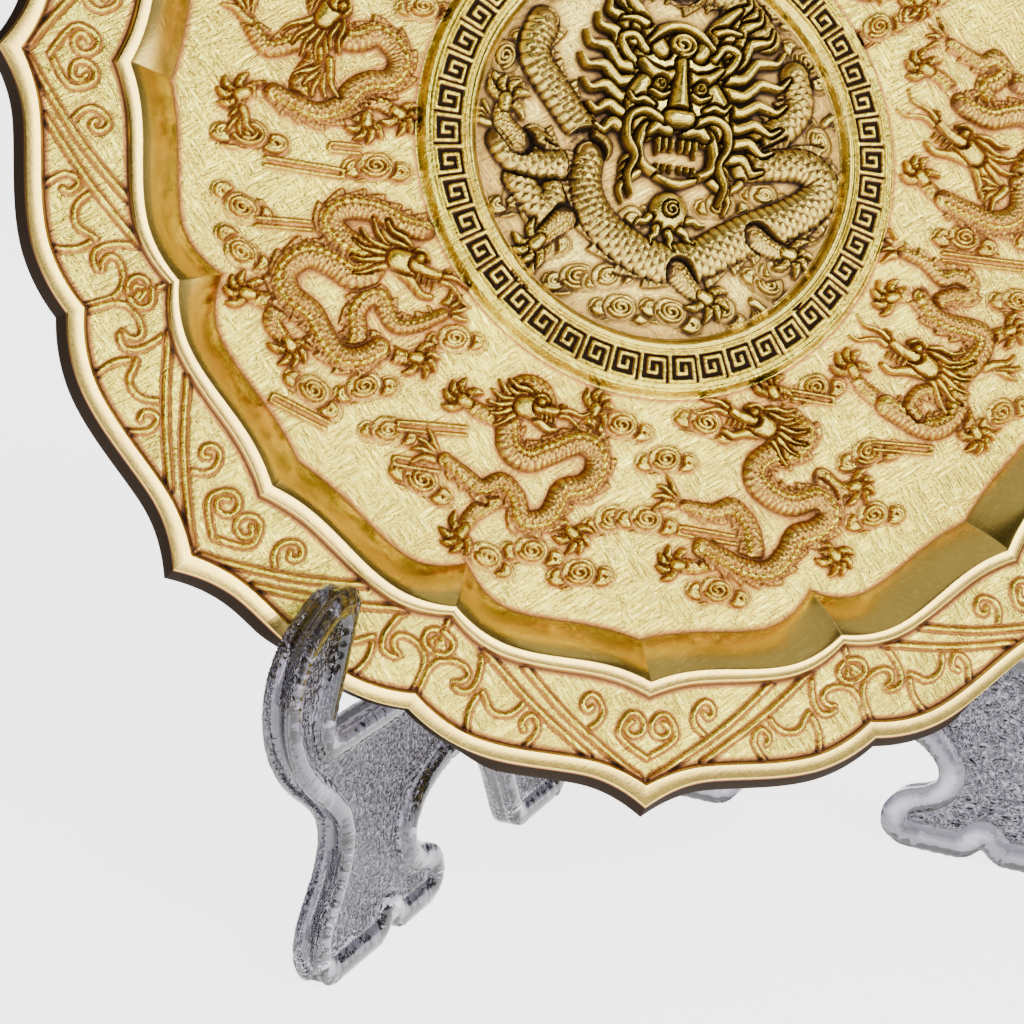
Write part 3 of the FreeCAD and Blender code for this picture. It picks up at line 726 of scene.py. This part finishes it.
# Each function of rows gives the angles of the columns, and for every point of the grid its radius,
# height, share of the relief, polish, and its stains together with painted shade.
def medallion_rows(columns):
    """The hollow with the large dragon and the ring with the key pattern."""
    angles = np.arange(columns) * 360.0 / columns
    radii = np.concatenate([np.arange(0.06, 38.3, 0.22), np.arange(38.3, 50.4, 0.15), [RING_RADIUS]])
    known = np.array(MEDALLION_PROFILE)
    levels = np.interp(radii, known[:, 0], known[:, 1]) - WELL_DEPTH
    r = np.repeat(radii[:, None], columns, 1)
    z = np.repeat(levels[:, None], columns, 1)
    relief = np.ones_like(r)
    relief[(radii > 38.2) & (radii < 41.45)] = 0
    relief[radii > 47.4] = 0
    polish = np.zeros_like(r)
    level = sample(height, r * np.cos(np.radians(angles)), r * np.sin(np.radians(angles)))
    in_fret = ((radii > 41.35) & (radii < 47.5))[:, None]
    stain_and_shade = np.where(in_fret, 1.3 - 2.2 * level, 0.0)
    disc = (radii < HOLLOW_RADIUS)[:, None]
    # the ground of the hollow goes darker towards the foot of the ring
    near_ring = 0.42 * np.clip((r - 32.0) / 6.5, 0, 1) ** 2
    stain_and_shade = np.where(disc, (0.17 + near_ring) * np.clip(1 - level / 1.2, 0, 1), stain_and_shade)
    polish[radii < 41.3] = 0.35
    return angles, r, z, relief, polish, stain_and_shade


def floor_rows(columns, rows=184):
    """The floor between the ring and the wall of the well."""
    angles = np.arange(columns) * 360.0 / columns
    share = np.linspace(0, 1, rows)[:, None]
    edge = outline(FLOOR, angles)[None, :]
    r = RING_RADIUS + (edge - RING_RADIUS) * share
    z = np.full_like(r, -WELL_DEPTH)
    relief = np.ones_like(r) * np.clip((1 - share) / 0.02, 0, 1)
    stain_and_shade = 0.75 * np.clip((share - 0.965) / 0.035, 0, 1) ** 1.5
    stain_and_shade = stain_and_shade + 0.6 * np.clip(1 - share / 0.025, 0, 1)
    return angles, r, z, relief, np.zeros_like(r), stain_and_shade * np.ones_like(r)


# how dark the edge of the rim is painted as it falls away, and the lip under it: past 1.05 the gold turns
# near black and barely reflective, as painted shade
EDGE_SHADE = 1.3


def edge_flare(angles):
    """How far the dark edge leans out, less where the rim sits in the hooks of the stand."""
    free = np.ones_like(angles)
    for seat in SEATS:
        away = np.abs((angles - seat + 180.0) % 360.0 - 180.0)
        free = np.minimum(free, np.clip((away - 7.0) / 5.0, 0, 1))
    return FLARE * free * free * (3 - 2 * free)


def rim_rows(columns):
    """Wall of the well, inner band, field, outer band and the edge."""
    angles = np.arange(columns) * 360.0 / columns
    floor, wall, band, field, edge = (outline(f, angles) for f in (FLOOR, WALL, BAND, FIELD, EDGE))
    r, z, relief, polish, stain_and_shade = [], [], [], [], []

    def add(inner, outer, shares, levels, is_relief=0.0, is_polished=1.0, stains_and_shade=0.0):
        """Rows at shares of the way from one outline to the next."""
        stains_and_shade = np.broadcast_to(stains_and_shade, np.shape(shares))
        for share, level, dirt_and_shade in zip(shares, levels, stains_and_shade):
            r.append(inner + (outer - inner) * share)
            z.append(np.full(columns, level))
            relief.append(np.full(columns, is_relief))
            polish.append(np.full(columns, is_polished))
            stain_and_shade.append(np.full(columns, dirt_and_shade))

    s = np.linspace(0, 1, 26)
    cove = -WELL_DEPTH * (1 - s) ** 1.25
    add(floor, wall, s, cove, stains_and_shade=0.45 * np.clip(1 - s / 0.1, 0, 1))
    s = np.linspace(0, 1, 12)
    add(wall, band - 0.45, s[1:], 0.05 * np.sin(math.pi * s[1:]), stains_and_shade=0.0)
    add(band - 0.45, band + 0.35, (0.25, 0.5, 0.75, 1.0), (-0.15, -0.42, -0.72, -FIELD_DEPTH),
        stains_and_shade=(0.2, 0.6, 0.9, 0.95))
    s = np.linspace(0, 1, 62)
    side = np.minimum(s, 1 - s)
    add(band + 0.35, field - 0.35, s[1:], np.full(61, -FIELD_DEPTH), 1.0, 0.0,
        stains_and_shade=0.85 * np.clip(1 - side[1:] / 0.07, 0, 1))
    add(field - 0.35, field + 0.5, (0.2, 0.4, 0.6, 0.8, 1.0), (-0.74, -0.55, -0.28, -0.06, 0.03),
        stains_and_shade=(0.95, 0.8, 0.4, 0.1, 0.0))
    s = np.linspace(0, 1, 18)
    outer = edge - 0.35
    add(field + 0.5, outer, s[1:], 0.03 + 0.05 * np.sin(math.pi * s[1:]))
    skirt = edge + edge_flare(angles)
    # from here the edge falls away from the outer band down to the lip under it, all painted near black
    # as painted shade
    add(outer, skirt, (0.10, 0.22, 0.34, 0.48, 0.62, 0.76, 0.90, 1.0),
        (-0.14, -0.34, -0.66, -1.06, -1.48, -1.92, -2.38, -2.74), stains_and_shade=(0.6,) + (EDGE_SHADE,) * 7)
    add(skirt, edge - 0.5, (0.1, 0.4, 1.0), (-3.1, -3.35, -RIM_THICKNESS), stains_and_shade=EDGE_SHADE)
    return angles, np.array(r), np.array(z), np.array(relief), np.array(polish), np.array(stain_and_shade)


def back_rows(columns):
    """Underside of the rim, outer face of the bowl and the flat foot."""
    angles = np.arange(columns) * 360.0 / columns
    edge, wall, floor = outline(EDGE, angles), outline(WALL, angles), outline(FLOOR, angles)
    upper = wall + WALL_THICKNESS
    lower = floor + WALL_THICKNESS * 0.6
    bottom = -WELL_DEPTH - FLOOR_THICKNESS
    r, z = [], []
    for share in np.linspace(0, 1, 16):
        r.append((edge - 0.5) * (1 - share) + (upper + 0.4) * share)
        z.append(np.full(columns, -RIM_THICKNESS + 0.12 * math.sin(math.pi * share)))
    for share in np.linspace(0, 1, 16)[1:]:
        r.append(upper * (1 - share) + (lower + 0.4) * share)
        z.append(np.full(columns, -RIM_THICKNESS - 0.3 + (bottom + 0.6 + RIM_THICKNESS) * share))
    for share in (0.3, 0.7, 1.0):
        r.append(lower + 0.4 - 1.4 * share)
        z.append(np.full(columns, bottom + 0.3 * (1 - share)))
    inner = lower - 1.0
    for share in np.linspace(0, 1, 24)[1:]:
        r.append(inner * (1 - share) + 0.1 * share)
        z.append(np.full(columns, bottom))
    r, z = np.array(r), np.array(z)
    flat = np.zeros_like(r)
    return angles, r, z, flat, flat + 0.5, flat + 0.15


def to_frame(points):
    """From the plate's own millimetres to metres in the frame of the part."""
    raised = Matrix.Rotation(math.radians(90.0 - LEAN), 3, "X")
    turn = raised @ Matrix.Rotation(math.radians(-TURN), 3, "Z")
    return (points @ np.array(turn).T + np.array(CENTRE)) * MM


def grid_normals(points, facing):
    """Unit normals of a closed ring of rows, on the side that `facing` says."""
    across = np.gradient(points, axis=0)
    around = np.roll(points, -1, 1) - np.roll(points, 1, 1)
    normal = np.cross(across, around)
    normal /= np.maximum(np.linalg.norm(normal, axis=2, keepdims=True), 1e-9)
    return normal * facing


def write_layer(mesh, name, values):
    """One number for every vertex, for the material to read."""
    layer = mesh.attributes.new(name, "FLOAT", "POINT")
    layer.data.foreach_set("value", values.astype(np.float32).ravel())


def surface(name, rows, sectors, material, facing=1):
    """Meshes, one for each sector, from rows of the plate's surface."""
    angles, r, z, relief, polish, stain_and_shade = rows
    x = r * np.cos(np.radians(angles))
    y = r * np.sin(np.radians(angles))
    z = z + relief * sample(height, x, y)
    dirt_and_shade = np.clip(stain_and_shade + relief * sample(cavity, x, y), 0, 1.4)
    local = np.stack([x, y, z], 2)
    world = to_frame(local)
    normals = grid_normals(world, facing)
    columns = r.shape[1]
    width = columns // sectors
    for sector in range(sectors):
        picked = np.arange(sector * width, (sector + 1) * width + 1) % columns
        label = name if sectors == 1 else "%s_%d" % (name, sector + 1)
        piece = grid_mesh(label, world[:, picked], normals[:, picked], facing)
        write_layer(piece.data, "tarnish_and_shade", dirt_and_shade[:, picked])
        write_layer(piece.data, "polish", polish[:, picked])
        layer = piece.data.attributes.new("place", "FLOAT_VECTOR", "POINT")
        layer.data.foreach_set("vector", local[:, picked].astype(np.float32).ravel())
        piece.data.materials.append(material)
        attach(piece, "plate")
        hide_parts("relief_plate")


def grid_mesh(name, points, normals, facing):
    """A mesh of quads over a grid of points, with its own normals."""
    rows, columns = points.shape[:2]
    index = np.arange(rows * columns).reshape(rows, columns)
    a, b, c, d = index[:-1, :-1], index[1:, :-1], index[1:, 1:], index[:-1, 1:]
    order = (a, b, c, d) if facing > 0 else (a, d, c, b)
    faces = np.stack([corner.ravel() for corner in order], 1).astype(np.int32)
    mesh = bpy.data.meshes.new(name)
    mesh.vertices.add(rows * columns)
    mesh.vertices.foreach_set("co", points.astype(np.float32).ravel())
    mesh.loops.add(faces.size)
    mesh.loops.foreach_set("vertex_index", faces.ravel())
    mesh.polygons.add(len(faces))
    mesh.polygons.foreach_set("loop_start", np.arange(0, faces.size, 4, dtype=np.int32))
    mesh.polygons.foreach_set("use_smooth", np.ones(len(faces), bool))
    mesh.update(calc_edges=True)
    mesh.normals_split_custom_set_from_vertices(normals.reshape(-1, 3).tolist())
    piece = bpy.data.objects.new(name, mesh)
    bpy.context.collection.objects.link(piece)
    return piece


# ------------------------------------------------------------ materials
class Nodes:
    """Short forms for building a node tree; each one returns an output of the node it adds."""

    def __init__(self, name):
        self.material = bpy.data.materials.new(name)
        self.material.use_nodes = True
        self.tree = self.material.node_tree
        self.shader = self.tree.nodes["Principled BSDF"]

    def put(self, target, value):
        """Links an output to an input, or sets the input to a plain value."""
        if isinstance(value, bpy.types.NodeSocket):
            self.tree.links.new(value, target)
        else:
            target.default_value = value

    def shade(self, values):
        """Inputs of the shader, by name."""
        for name, value in values.items():
            self.put(self.shader.inputs[name], value)

    def add(self, kind, output, inputs, **settings):
        node = self.tree.nodes.new("ShaderNode" + kind)
        for key, value in settings.items():
            setattr(node, key, value)
        for key, value in inputs.items():
            self.put(node.inputs[key], value)
        return node.outputs[output]

    def math(self, operation, first, second=0.0, clamp=False):
        return self.add("Math", 0, {0: first, 1: second}, operation=operation, use_clamp=clamp)

    def mix(self, factor, first, second):
        """A blend of two colours."""
        colours = {0: factor, 6: first, 7: second}
        return self.add("Mix", 2, colours, data_type="RGBA")

    def blend(self, factor, first, second):
        """A blend of two numbers."""
        return self.add("Mix", 0, {0: factor, 2: first, 3: second})

    def attribute(self, name, output="Fac"):
        return self.add("Attribute", output, {}, attribute_name=name)

    def noise(self, where, scale, detail=3.0, roughness=0.5, distortion=0.0):
        inputs = {"Vector": where, "Scale": scale, "Detail": detail, "Roughness": roughness,
                  "Distortion": distortion}
        return self.add("TexNoise", "Fac", inputs)

    def stretched(self, where, turn, scale):
        """A place turned by degrees, then scaled along its own axes."""
        inputs = {"Vector": where, "Rotation": (0, 0, math.radians(turn)),
                  "Scale": [1 / factor for factor in scale]}
        return self.add("Mapping", 0, inputs, vector_type="TEXTURE")

    def ramp(self, value, low, high):
        """0 at the low value, 1 at the high one, straight between them."""
        inputs = {"Value": value, "From Min": low, "From Max": high}
        return self.add("MapRange", 0, inputs, clamp=True)

    def length(self, vector):
        return self.add("VectorMath", "Value", {0: vector}, operation="LENGTH")

    def facing(self, blend):
        """1 where a surface is seen edge on, 0 where it is seen square on."""
        return self.add("LayerWeight", "Facing", {"Blend": blend})

    def bump(self, value, strength, distance, normal=None):
        inputs = {"Strength": strength, "Distance": distance, "Height": value}
        if normal is not None:
            inputs["Normal"] = normal
        return self.add("Bump", 0, inputs)


def gold_material():
    """Gilt brass, brushed where it is not polished, with a red-brown patina in the recesses, pale streaks
    along the brushing that are painted highlight, and a near-black, barely reflective outer edge that is
    painted shade.
    """
    n = Nodes("gilt_brass")
    place = n.attribute("place", "Vector")
    tarnish_and_shade = n.attribute("tarnish_and_shade")
    polish = n.attribute("polish")
    rough_parts = n.math("SUBTRACT", 1.0, polish)
    distance = n.length(place)
    disc = n.ramp(distance, 41.0, 39.0)
    ring = n.ramp(distance, 51.0, 49.5)
    cloudy = n.ramp(n.noise(place, 0.06, 4.0, 0.6), 0.38, 0.62)
    grain = n.noise(place, 1.3, 4.0, 0.6)
    swirl = n.noise(place, 0.16, 2.0)
    brush_a = n.noise(n.stretched(place, 34, (0.30, 1.7, 1.0)), 0.9, 3.0, 0.6, 0.6)
    brush_b = n.noise(n.stretched(place, -52, (0.30, 1.7, 1.0)), 0.9, 3.0, 0.6, 0.6)
    brushed = n.blend(n.ramp(swirl, 0.46, 0.54), brush_a, brush_b)
    dirt_and_shade = n.math("ADD", tarnish_and_shade, n.math("MULTIPLY", n.math("SUBTRACT", grain, 0.5), 0.26))
    dirt_and_shade = n.ramp(dirt_and_shade, 0.06, 0.90)
    bright = n.mix(cloudy, (0.82, 0.67, 0.062, 1), (0.60, 0.46, 0.048, 1))
    streaks = n.math("MULTIPLY", n.ramp(brushed, 0.49, 0.64), rough_parts)
    bright = n.mix(n.math("MULTIPLY", streaks, 0.60), bright, (0.40, 0.28, 0.050, 1))
    # painted highlight: pale yellow streaks where the brushing pattern is low stand in for glints along
    # the brush marks
    bright = n.mix(n.ramp(brushed, 0.49, 0.34), bright, (0.97, 0.86, 0.15, 1))
    bright = n.mix(n.math("MULTIPLY", disc, 0.6), bright, (0.82, 0.71, 0.17, 1))
    reddish = n.mix(disc, (0.42, 0.185, 0.042, 1), (0.35, 0.205, 0.036, 1))
    deep = n.mix(ring, (0.11, 0.040, 0.014, 1), (0.050, 0.018, 0.009, 1))
    deep = n.mix(disc, deep, (0.075, 0.036, 0.012, 1))
    warm = n.mix(n.ramp(dirt_and_shade, 0.0, 0.50), bright, reddish)
    color = n.mix(n.ramp(dirt_and_shade, 0.50, 1.0), warm, deep)
    shown = n.math("MULTIPLY", n.math("MULTIPLY", polish, 0.70), n.math("SUBTRACT", 1.0, dirt_and_shade))
    color = n.mix(shown, color, (0.56, 0.36, 0.115, 1))
    # near black, non-metallic and barely reflective where this passes 1.05: on the floor of the key
    # pattern's channel, and as painted shade on the outer edge of the rim
    edge = n.ramp(tarnish_and_shade, 1.05, 1.25)
    color = n.mix(edge, color, (0.012, 0.006, 0.002, 1))
    rough = n.math("ADD", n.blend(polish, 0.17, 0.15), n.math("MULTIPLY", grain, 0.10))
    rough = n.math("ADD", rough, n.math("MULTIPLY", dirt_and_shade, 0.22))
    marks = n.math("ADD", brushed, n.math("MULTIPLY", grain, 0.30))
    n.shade({
        "Base Color": color,
        "Metallic": n.math("SUBTRACT", n.blend(dirt_and_shade, 1.0, 0.80), edge, True),
        "Specular IOR Level": n.blend(edge, 0.5, 0.12),
        "Roughness": n.math("ADD", rough, n.math("MULTIPLY", edge, 0.4)),
        "Normal": n.bump(marks, n.blend(polish, 1.0, 0.04), 0.00042),
    })
    return n.material


def plastic_material():
    """Clear plastic: stippled on the web of a frame, smooth on its ribs. The rib colour is painted darker
    at the rib walls and where a rib is seen edge on, as painted shade, and lighter along the crowns, as a
    painted highlight.
    """
    n = Nodes("clear_plastic")
    where = n.add("TexCoord", "Object", {})
    panel = n.attribute("panel")
    stipple = n.noise(where, 1000.0, 0.0, 0.5)
    ripple = n.noise(where, 60.0, 2.0, 0.5)
    bumps = n.bump(n.math("MULTIPLY", stipple, panel), 1.0, 0.0016, n.bump(ripple, 0.15, 0.002))
    painted_rib_light = n.attribute("painted_rib_light")
    # painted shade and highlight on the ribs: dark at a rib's walls, light along its crown
    rib_shade_and_highlight = n.mix(n.ramp(painted_rib_light, 0.25, 0.75), (0.065, 0.061, 0.076, 1), (0.29, 0.275, 0.325, 1))
    # painted shade: the rib colour goes darker where a rib is seen edge on
    smooth = n.mix(n.facing(0.30), rib_shade_and_highlight, (0.04, 0.037, 0.047, 1))
    speckled = n.mix(n.ramp(stipple, 0.42, 0.60), (0.045, 0.041, 0.054, 1), (0.20, 0.188, 0.228, 1))
    n.shade({
        "Base Color": n.mix(panel, smooth, speckled),
        "Roughness": n.blend(panel, 0.04, 0.14),
        "Normal": bumps,
        "Transmission Weight": 1.0,
        "IOR": 1.49,
    })
    return n.material


def steel_material():
    """Steel wire with drawing marks along it."""
    n = Nodes("drawn_steel")
    where = n.add("TexCoord", "Object", {})
    drawn = n.noise(n.stretched(where, 0, (2600, 2600, 60)), 1.0, 3.0, 0.5)
    n.shade({
        "Base Color": n.mix(drawn, (0.52, 0.52, 0.53, 1), (0.70, 0.70, 0.70, 1)),
        "Roughness": n.blend(drawn, 0.22, 0.42),
        "Normal": n.bump(drawn, 0.2, 0.00005),
        "Metallic": 1.0,
    })
    return n.material


def floor_material():
    """The white table, lit from within as a studio sweep is."""
    n = Nodes("white_table")
    soft = n.noise(n.add("TexCoord", "Object", {}), 3.0, 2.0)
    n.shade({
        "Base Color": n.mix(soft, (0.90, 0.90, 0.90, 1), (0.93, 0.93, 0.93, 1)),
        "Roughness": 0.6,
        "Emission Color": (1, 1, 1, 1),
        "Emission Strength": 3.4,
    })
    return n.material


# ------------------------------------------------------------ stand
# millimetres, and in degrees the angle between each frame and straight ahead
HINGE_Y = 46.2
HALF_SPREAD = 42.3
SLAB_MIDDLE = 4.0
SLAB_HALF = 3.5
WEB_HALF = 1.5
# ribs nearer to the hinge than this keep their square edges
CLEAR_OF_HINGE = 14.0
ROUND_DEPTH = 1.5
ROUND_WIDTH = 2.4
FRONT_POST = 100.0
GROOVE_HALF = 2.3
GROOVE_DEPTH = 1.7
PIN_LOW = 20.0
PIN_HIGH = 101.6
PIN_RADIUS = 1.24
# radius and distance from the end of the pin, for its rounded ends
PIN_END = ((0.5, 0.02), (0.95, 0.15), (1.17, 0.4), (PIN_RADIUS, 0.8))
# cell of the frames' new mesh, in metres
VOXEL = 0.0006


def moulded_frame(node, side, body, material):
    """A stand frame with the softened edges of moulded plastic and stippled panels."""
    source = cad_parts[node]
    name = node + "_moulded"
    rough = bpy.data.objects.new(name + "_draft", source.data.copy())
    bpy.context.collection.objects.link(rough)
    shrink = rough.modifiers.new("voxels", "REMESH")
    shrink.mode = "VOXEL"
    shrink.voxel_size = VOXEL
    shrink.use_smooth_shade = True
    soften = rough.modifiers.new("soften", "SMOOTH")
    soften.factor = 0.5
    soften.iterations = 10
    evaluated = rough.evaluated_get(bpy.context.evaluated_depsgraph_get())
    mesh = bpy.data.meshes.new_from_object(evaluated)
    mesh.name = name
    bpy.data.objects.remove(rough)
    shape_frame(mesh, side)
    mesh.materials.clear()
    mesh.materials.append(material)
    piece = bpy.data.objects.new(name, mesh)
    bpy.context.collection.objects.link(piece)
    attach(piece, body)
    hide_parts(node)


def wall_gaps(plane, on_wall):
    """Distance in the frame's plane from every point to the nearest wall of a rib."""
    walls = np.unique(np.round(plane[on_wall] / 0.5).astype(int), axis=0) * 0.5
    tree = KDTree(len(walls))
    for index, (a, b) in enumerate(walls.tolist()):
        tree.insert((a, b, 0.0), index)
    tree.balance()
    return np.array([tree.find((a, b, 0.0))[2] for a, b in plane.tolist()])


def shape_frame(mesh, side):
    """Rounds the ribs, marks the stippled web and sinks a groove along the front post."""
    count = len(mesh.vertices)
    points = np.zeros(count * 3, np.float32)
    normals = np.zeros(count * 3, np.float32)
    mesh.vertices.foreach_get("co", points)
    mesh.vertices.foreach_get("normal", normals)
    points, normals = points.reshape(-1, 3), normals.reshape(-1, 3)
    spread_angle = math.radians(HALF_SPREAD)
    outward = np.array((side * math.cos(spread_angle), math.sin(spread_angle), 0))
    forward = np.array((side * math.sin(spread_angle), -math.cos(spread_angle), 0))
    local = points / MM - np.array((0, HINGE_Y, 0))
    offset = local @ outward - SLAB_MIDDLE
    write_layer(mesh, "panel", np.clip(1 - np.abs(np.abs(offset) - WEB_HALF) / 0.5, 0, 1))
    reach = local @ forward
    thick = np.abs(offset)
    on_wall = (np.abs(normals @ outward) < 0.5) & (thick > WEB_HALF + 0.3)
    on_rib = (thick > WEB_HALF + 0.4) & (reach > CLEAR_OF_HINGE)
    gaps = wall_gaps(np.stack([reach, local[:, 2]], 1)[on_rib], on_wall[on_rib])
    fall = ROUND_DEPTH * (1 - np.sqrt(1 - np.clip(1 - gaps / ROUND_WIDTH, 0, 1) ** 2))
    drop = np.zeros(count)
    drop[on_rib] = np.maximum(thick[on_rib] - (SLAB_HALF - fall), 0)
    points -= outward * (np.sign(offset) * drop * MM)[:, None]
    # how far across a rib each point lies, 0 at its walls and 1 along its crown, for the painted shade
    # and highlight of the rib colour
    painted_rib_light = np.zeros(count)
    painted_rib_light[on_rib] = np.clip(gaps / ROUND_WIDTH, 0, 1)
    write_layer(mesh, "painted_rib_light", painted_rib_light)
    on_post = (reach > FRONT_POST) & (normals @ forward > 0.2) & (thick < GROOVE_HALF)
    sink = on_post * GROOVE_DEPTH * np.cos(offset * math.pi / 2 / GROOVE_HALF) ** 2
    points -= normals * (sink * MM)[:, None]
    mesh.vertices.foreach_set("co", points.ravel())
    mesh.update()


def lathe(name, profile, centre, material, columns=48):
    """A turned piece about a vertical axis, from (radius, height) in millimetres."""
    angles = np.arange(columns) * 2 * math.pi / columns
    points = []
    for radius, level in profile:
        ring = np.stack([radius * np.cos(angles), radius * np.sin(angles), np.full(columns, level)], 1)
        points.append(ring + np.array(centre))
    vertices = np.concatenate(points) * MM
    faces = []
    for row in range(len(profile) - 1):
        for column in range(columns):
            after = (column + 1) % columns
            a, b = row * columns, (row + 1) * columns
            faces.append((a + column, a + after, b + after, b + column))
    faces.append(tuple(reversed(range(columns))))
    faces.append(tuple((len(profile) - 1) * columns + c for c in range(columns)))
    mesh = bpy.data.meshes.new(name)
    mesh.from_pydata(vertices.tolist(), [], faces)
    for polygon in mesh.polygons:
        polygon.use_smooth = len(polygon.vertices) == 4
    mesh.materials.append(material)
    piece = bpy.data.objects.new(name, mesh)
    bpy.context.collection.objects.link(piece)
    return piece


def make_pin(material):
    """The hinge wire, with rounded ends."""
    profile = [(radius, PIN_LOW + inset) for radius, inset in PIN_END]
    low, high = PIN_LOW + PIN_END[-1][1], PIN_HIGH - PIN_END[-1][1]
    profile += [(PIN_RADIUS, low + (high - low) * step / 8) for step in range(1, 9)]
    profile += [(radius, PIN_HIGH - inset) for radius, inset in reversed(PIN_END[:-1])]
    pin = lathe("hinge_wire", profile, (0, HINGE_Y, 0), material)
    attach(pin, "left_half")
    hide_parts("hinge_pin")


# ------------------------------------------------------------ studio
def make_camera():
    """The view: from the front left, a little above, close to the plate."""
    data = bpy.data.cameras.new("camera")
    data.lens = 79.8
    data.sensor_width = 36.0
    data.clip_start = 0.01
    camera = bpy.data.objects.new("camera", data)
    bpy.context.collection.objects.link(camera)
    right = Vector((0.9522, -0.3041, 0.0152)).normalized()
    ahead = Vector((0.2979, 0.9191, -0.2582)).normalized()
    up = right.cross(ahead)
    turn = Matrix((right, up, -ahead)).transposed()
    camera.matrix_world = Matrix.Translation(Vector((-0.1671, -0.4116, 0.1929))) @ turn.to_4x4()
    bpy.context.scene.camera = camera


LIT = Vector((0, 0, 0.14))


def add_light(name, place, width, length, power):
    """A softbox in metres and watts, turned to the middle of the plate."""
    data = bpy.data.lights.new(name, "AREA")
    data.shape = "RECTANGLE"
    data.size = width
    data.size_y = length
    data.energy = power
    light = bpy.data.objects.new(name, data)
    bpy.context.collection.objects.link(light)
    light.location = place
    light.rotation_euler = (LIT - Vector(place)).to_track_quat("-Z", "Y").to_euler()


def make_studio():
    """A large key light, two fills, and a world that is brighter below and darker to the left."""
    add_light("key_right", (0.60, -1.43, 1.06), 1.05, 0.90, 36)
    add_light("fill_left", (-1.1, -1.3, 0.55), 0.5, 0.9, 4)
    add_light("top", (0.1, 0.2, 1.9), 2.2, 1.8, 7)
    world = bpy.data.worlds.new("studio")
    bpy.context.scene.world = world
    world.use_nodes = True
    nodes, links = world.node_tree.nodes, world.node_tree.links
    background = nodes["Background"]
    split = nodes.new("ShaderNodeSeparateXYZ")
    links.new(nodes.new("ShaderNodeTexCoord").outputs["Generated"], split.inputs[0])
    ramp = nodes.new("ShaderNodeValToRGB")
    links.new(split.outputs["Z"], ramp.inputs[0])
    links.new(ramp.outputs[0], background.inputs["Color"])
    darker = nodes.new("ShaderNodeMapRange")
    for name, value in (("From Min", -0.75), ("From Max", -0.15), ("To Min", 0.12)):
        darker.inputs[name].default_value = value
    links.new(split.outputs["X"], darker.inputs["Value"])
    links.new(darker.outputs[0], background.inputs["Strength"])
    below, above = ramp.color_ramp.elements
    below.position, below.color = 0.0, (0.85, 0.85, 0.88, 1)
    above.position, above.color = 0.9, (0.08, 0.075, 0.07, 1)
    ramp.color_ramp.elements.new(0.35).color = (0.30, 0.285, 0.27, 1)


def make_floor(material):
    """The table under the stand."""
    size = 6.0
    mesh = bpy.data.meshes.new("table")
    corners = [(-size, -size, 0), (size, -size, 0), (size, size, 0), (-size, size, 0)]
    mesh.from_pydata(corners, [], [(0, 1, 2, 3)])
    mesh.materials.append(material)
    table = bpy.data.objects.new("table", mesh)
    bpy.context.collection.objects.link(table)


# ------------------------------------------------------------ build
def hollows(radius, depth):
    """How far the relief lies below its surroundings: 1 at the depth given and below it."""
    return np.clip((blurred(height, radius) - height) / depth, 0, 1)


def patina():
    """Where the patina has stayed, from the shape of the relief: 0 is clean, 1 is dark."""
    axis = np.arange(COUNT) * CELL - REACH
    from_middle = np.hypot(axis[None, :], axis[:, None])
    broad = hollows(2.6, 1.5)
    raised = np.clip(height / 0.6, 0, 1)
    base = 0.48 * hollows(0.42, 0.42) + 0.34 * hollows(1.5, 0.95) + wear
    in_hollow = base + 0.34 * broad + 0.12 * raised
    on_floor = np.minimum(1.20 * base + 0.24 * broad + 0.13 * raised, 0.80)
    on_rim = 0.66 * hollows(0.60, 0.20)
    result = np.where(from_middle < HOLLOW_RADIUS, in_hollow, base)
    result = np.where(from_middle > RING_RADIUS, on_floor, result)
    return np.where(from_middle > RIM_START, on_rim, result)


paint_floor()
paint_fret()
paint_medallion()
paint_rim()
cavity = patina()

gold = gold_material()
surface("medallion", medallion_rows(1200), 4, gold)
surface("well_floor", floor_rows(2160), 6, gold)
surface("rim", rim_rows(2640), 4, gold)
surface("plate_back", back_rows(720), 1, gold)

plastic = plastic_material()
moulded_frame("stand_frame_left", -1, "left_half", plastic)
moulded_frame("stand_frame_right", 1, "right_half", plastic)
make_pin(steel_material())

make_floor(floor_material())
make_camera()
make_studio()
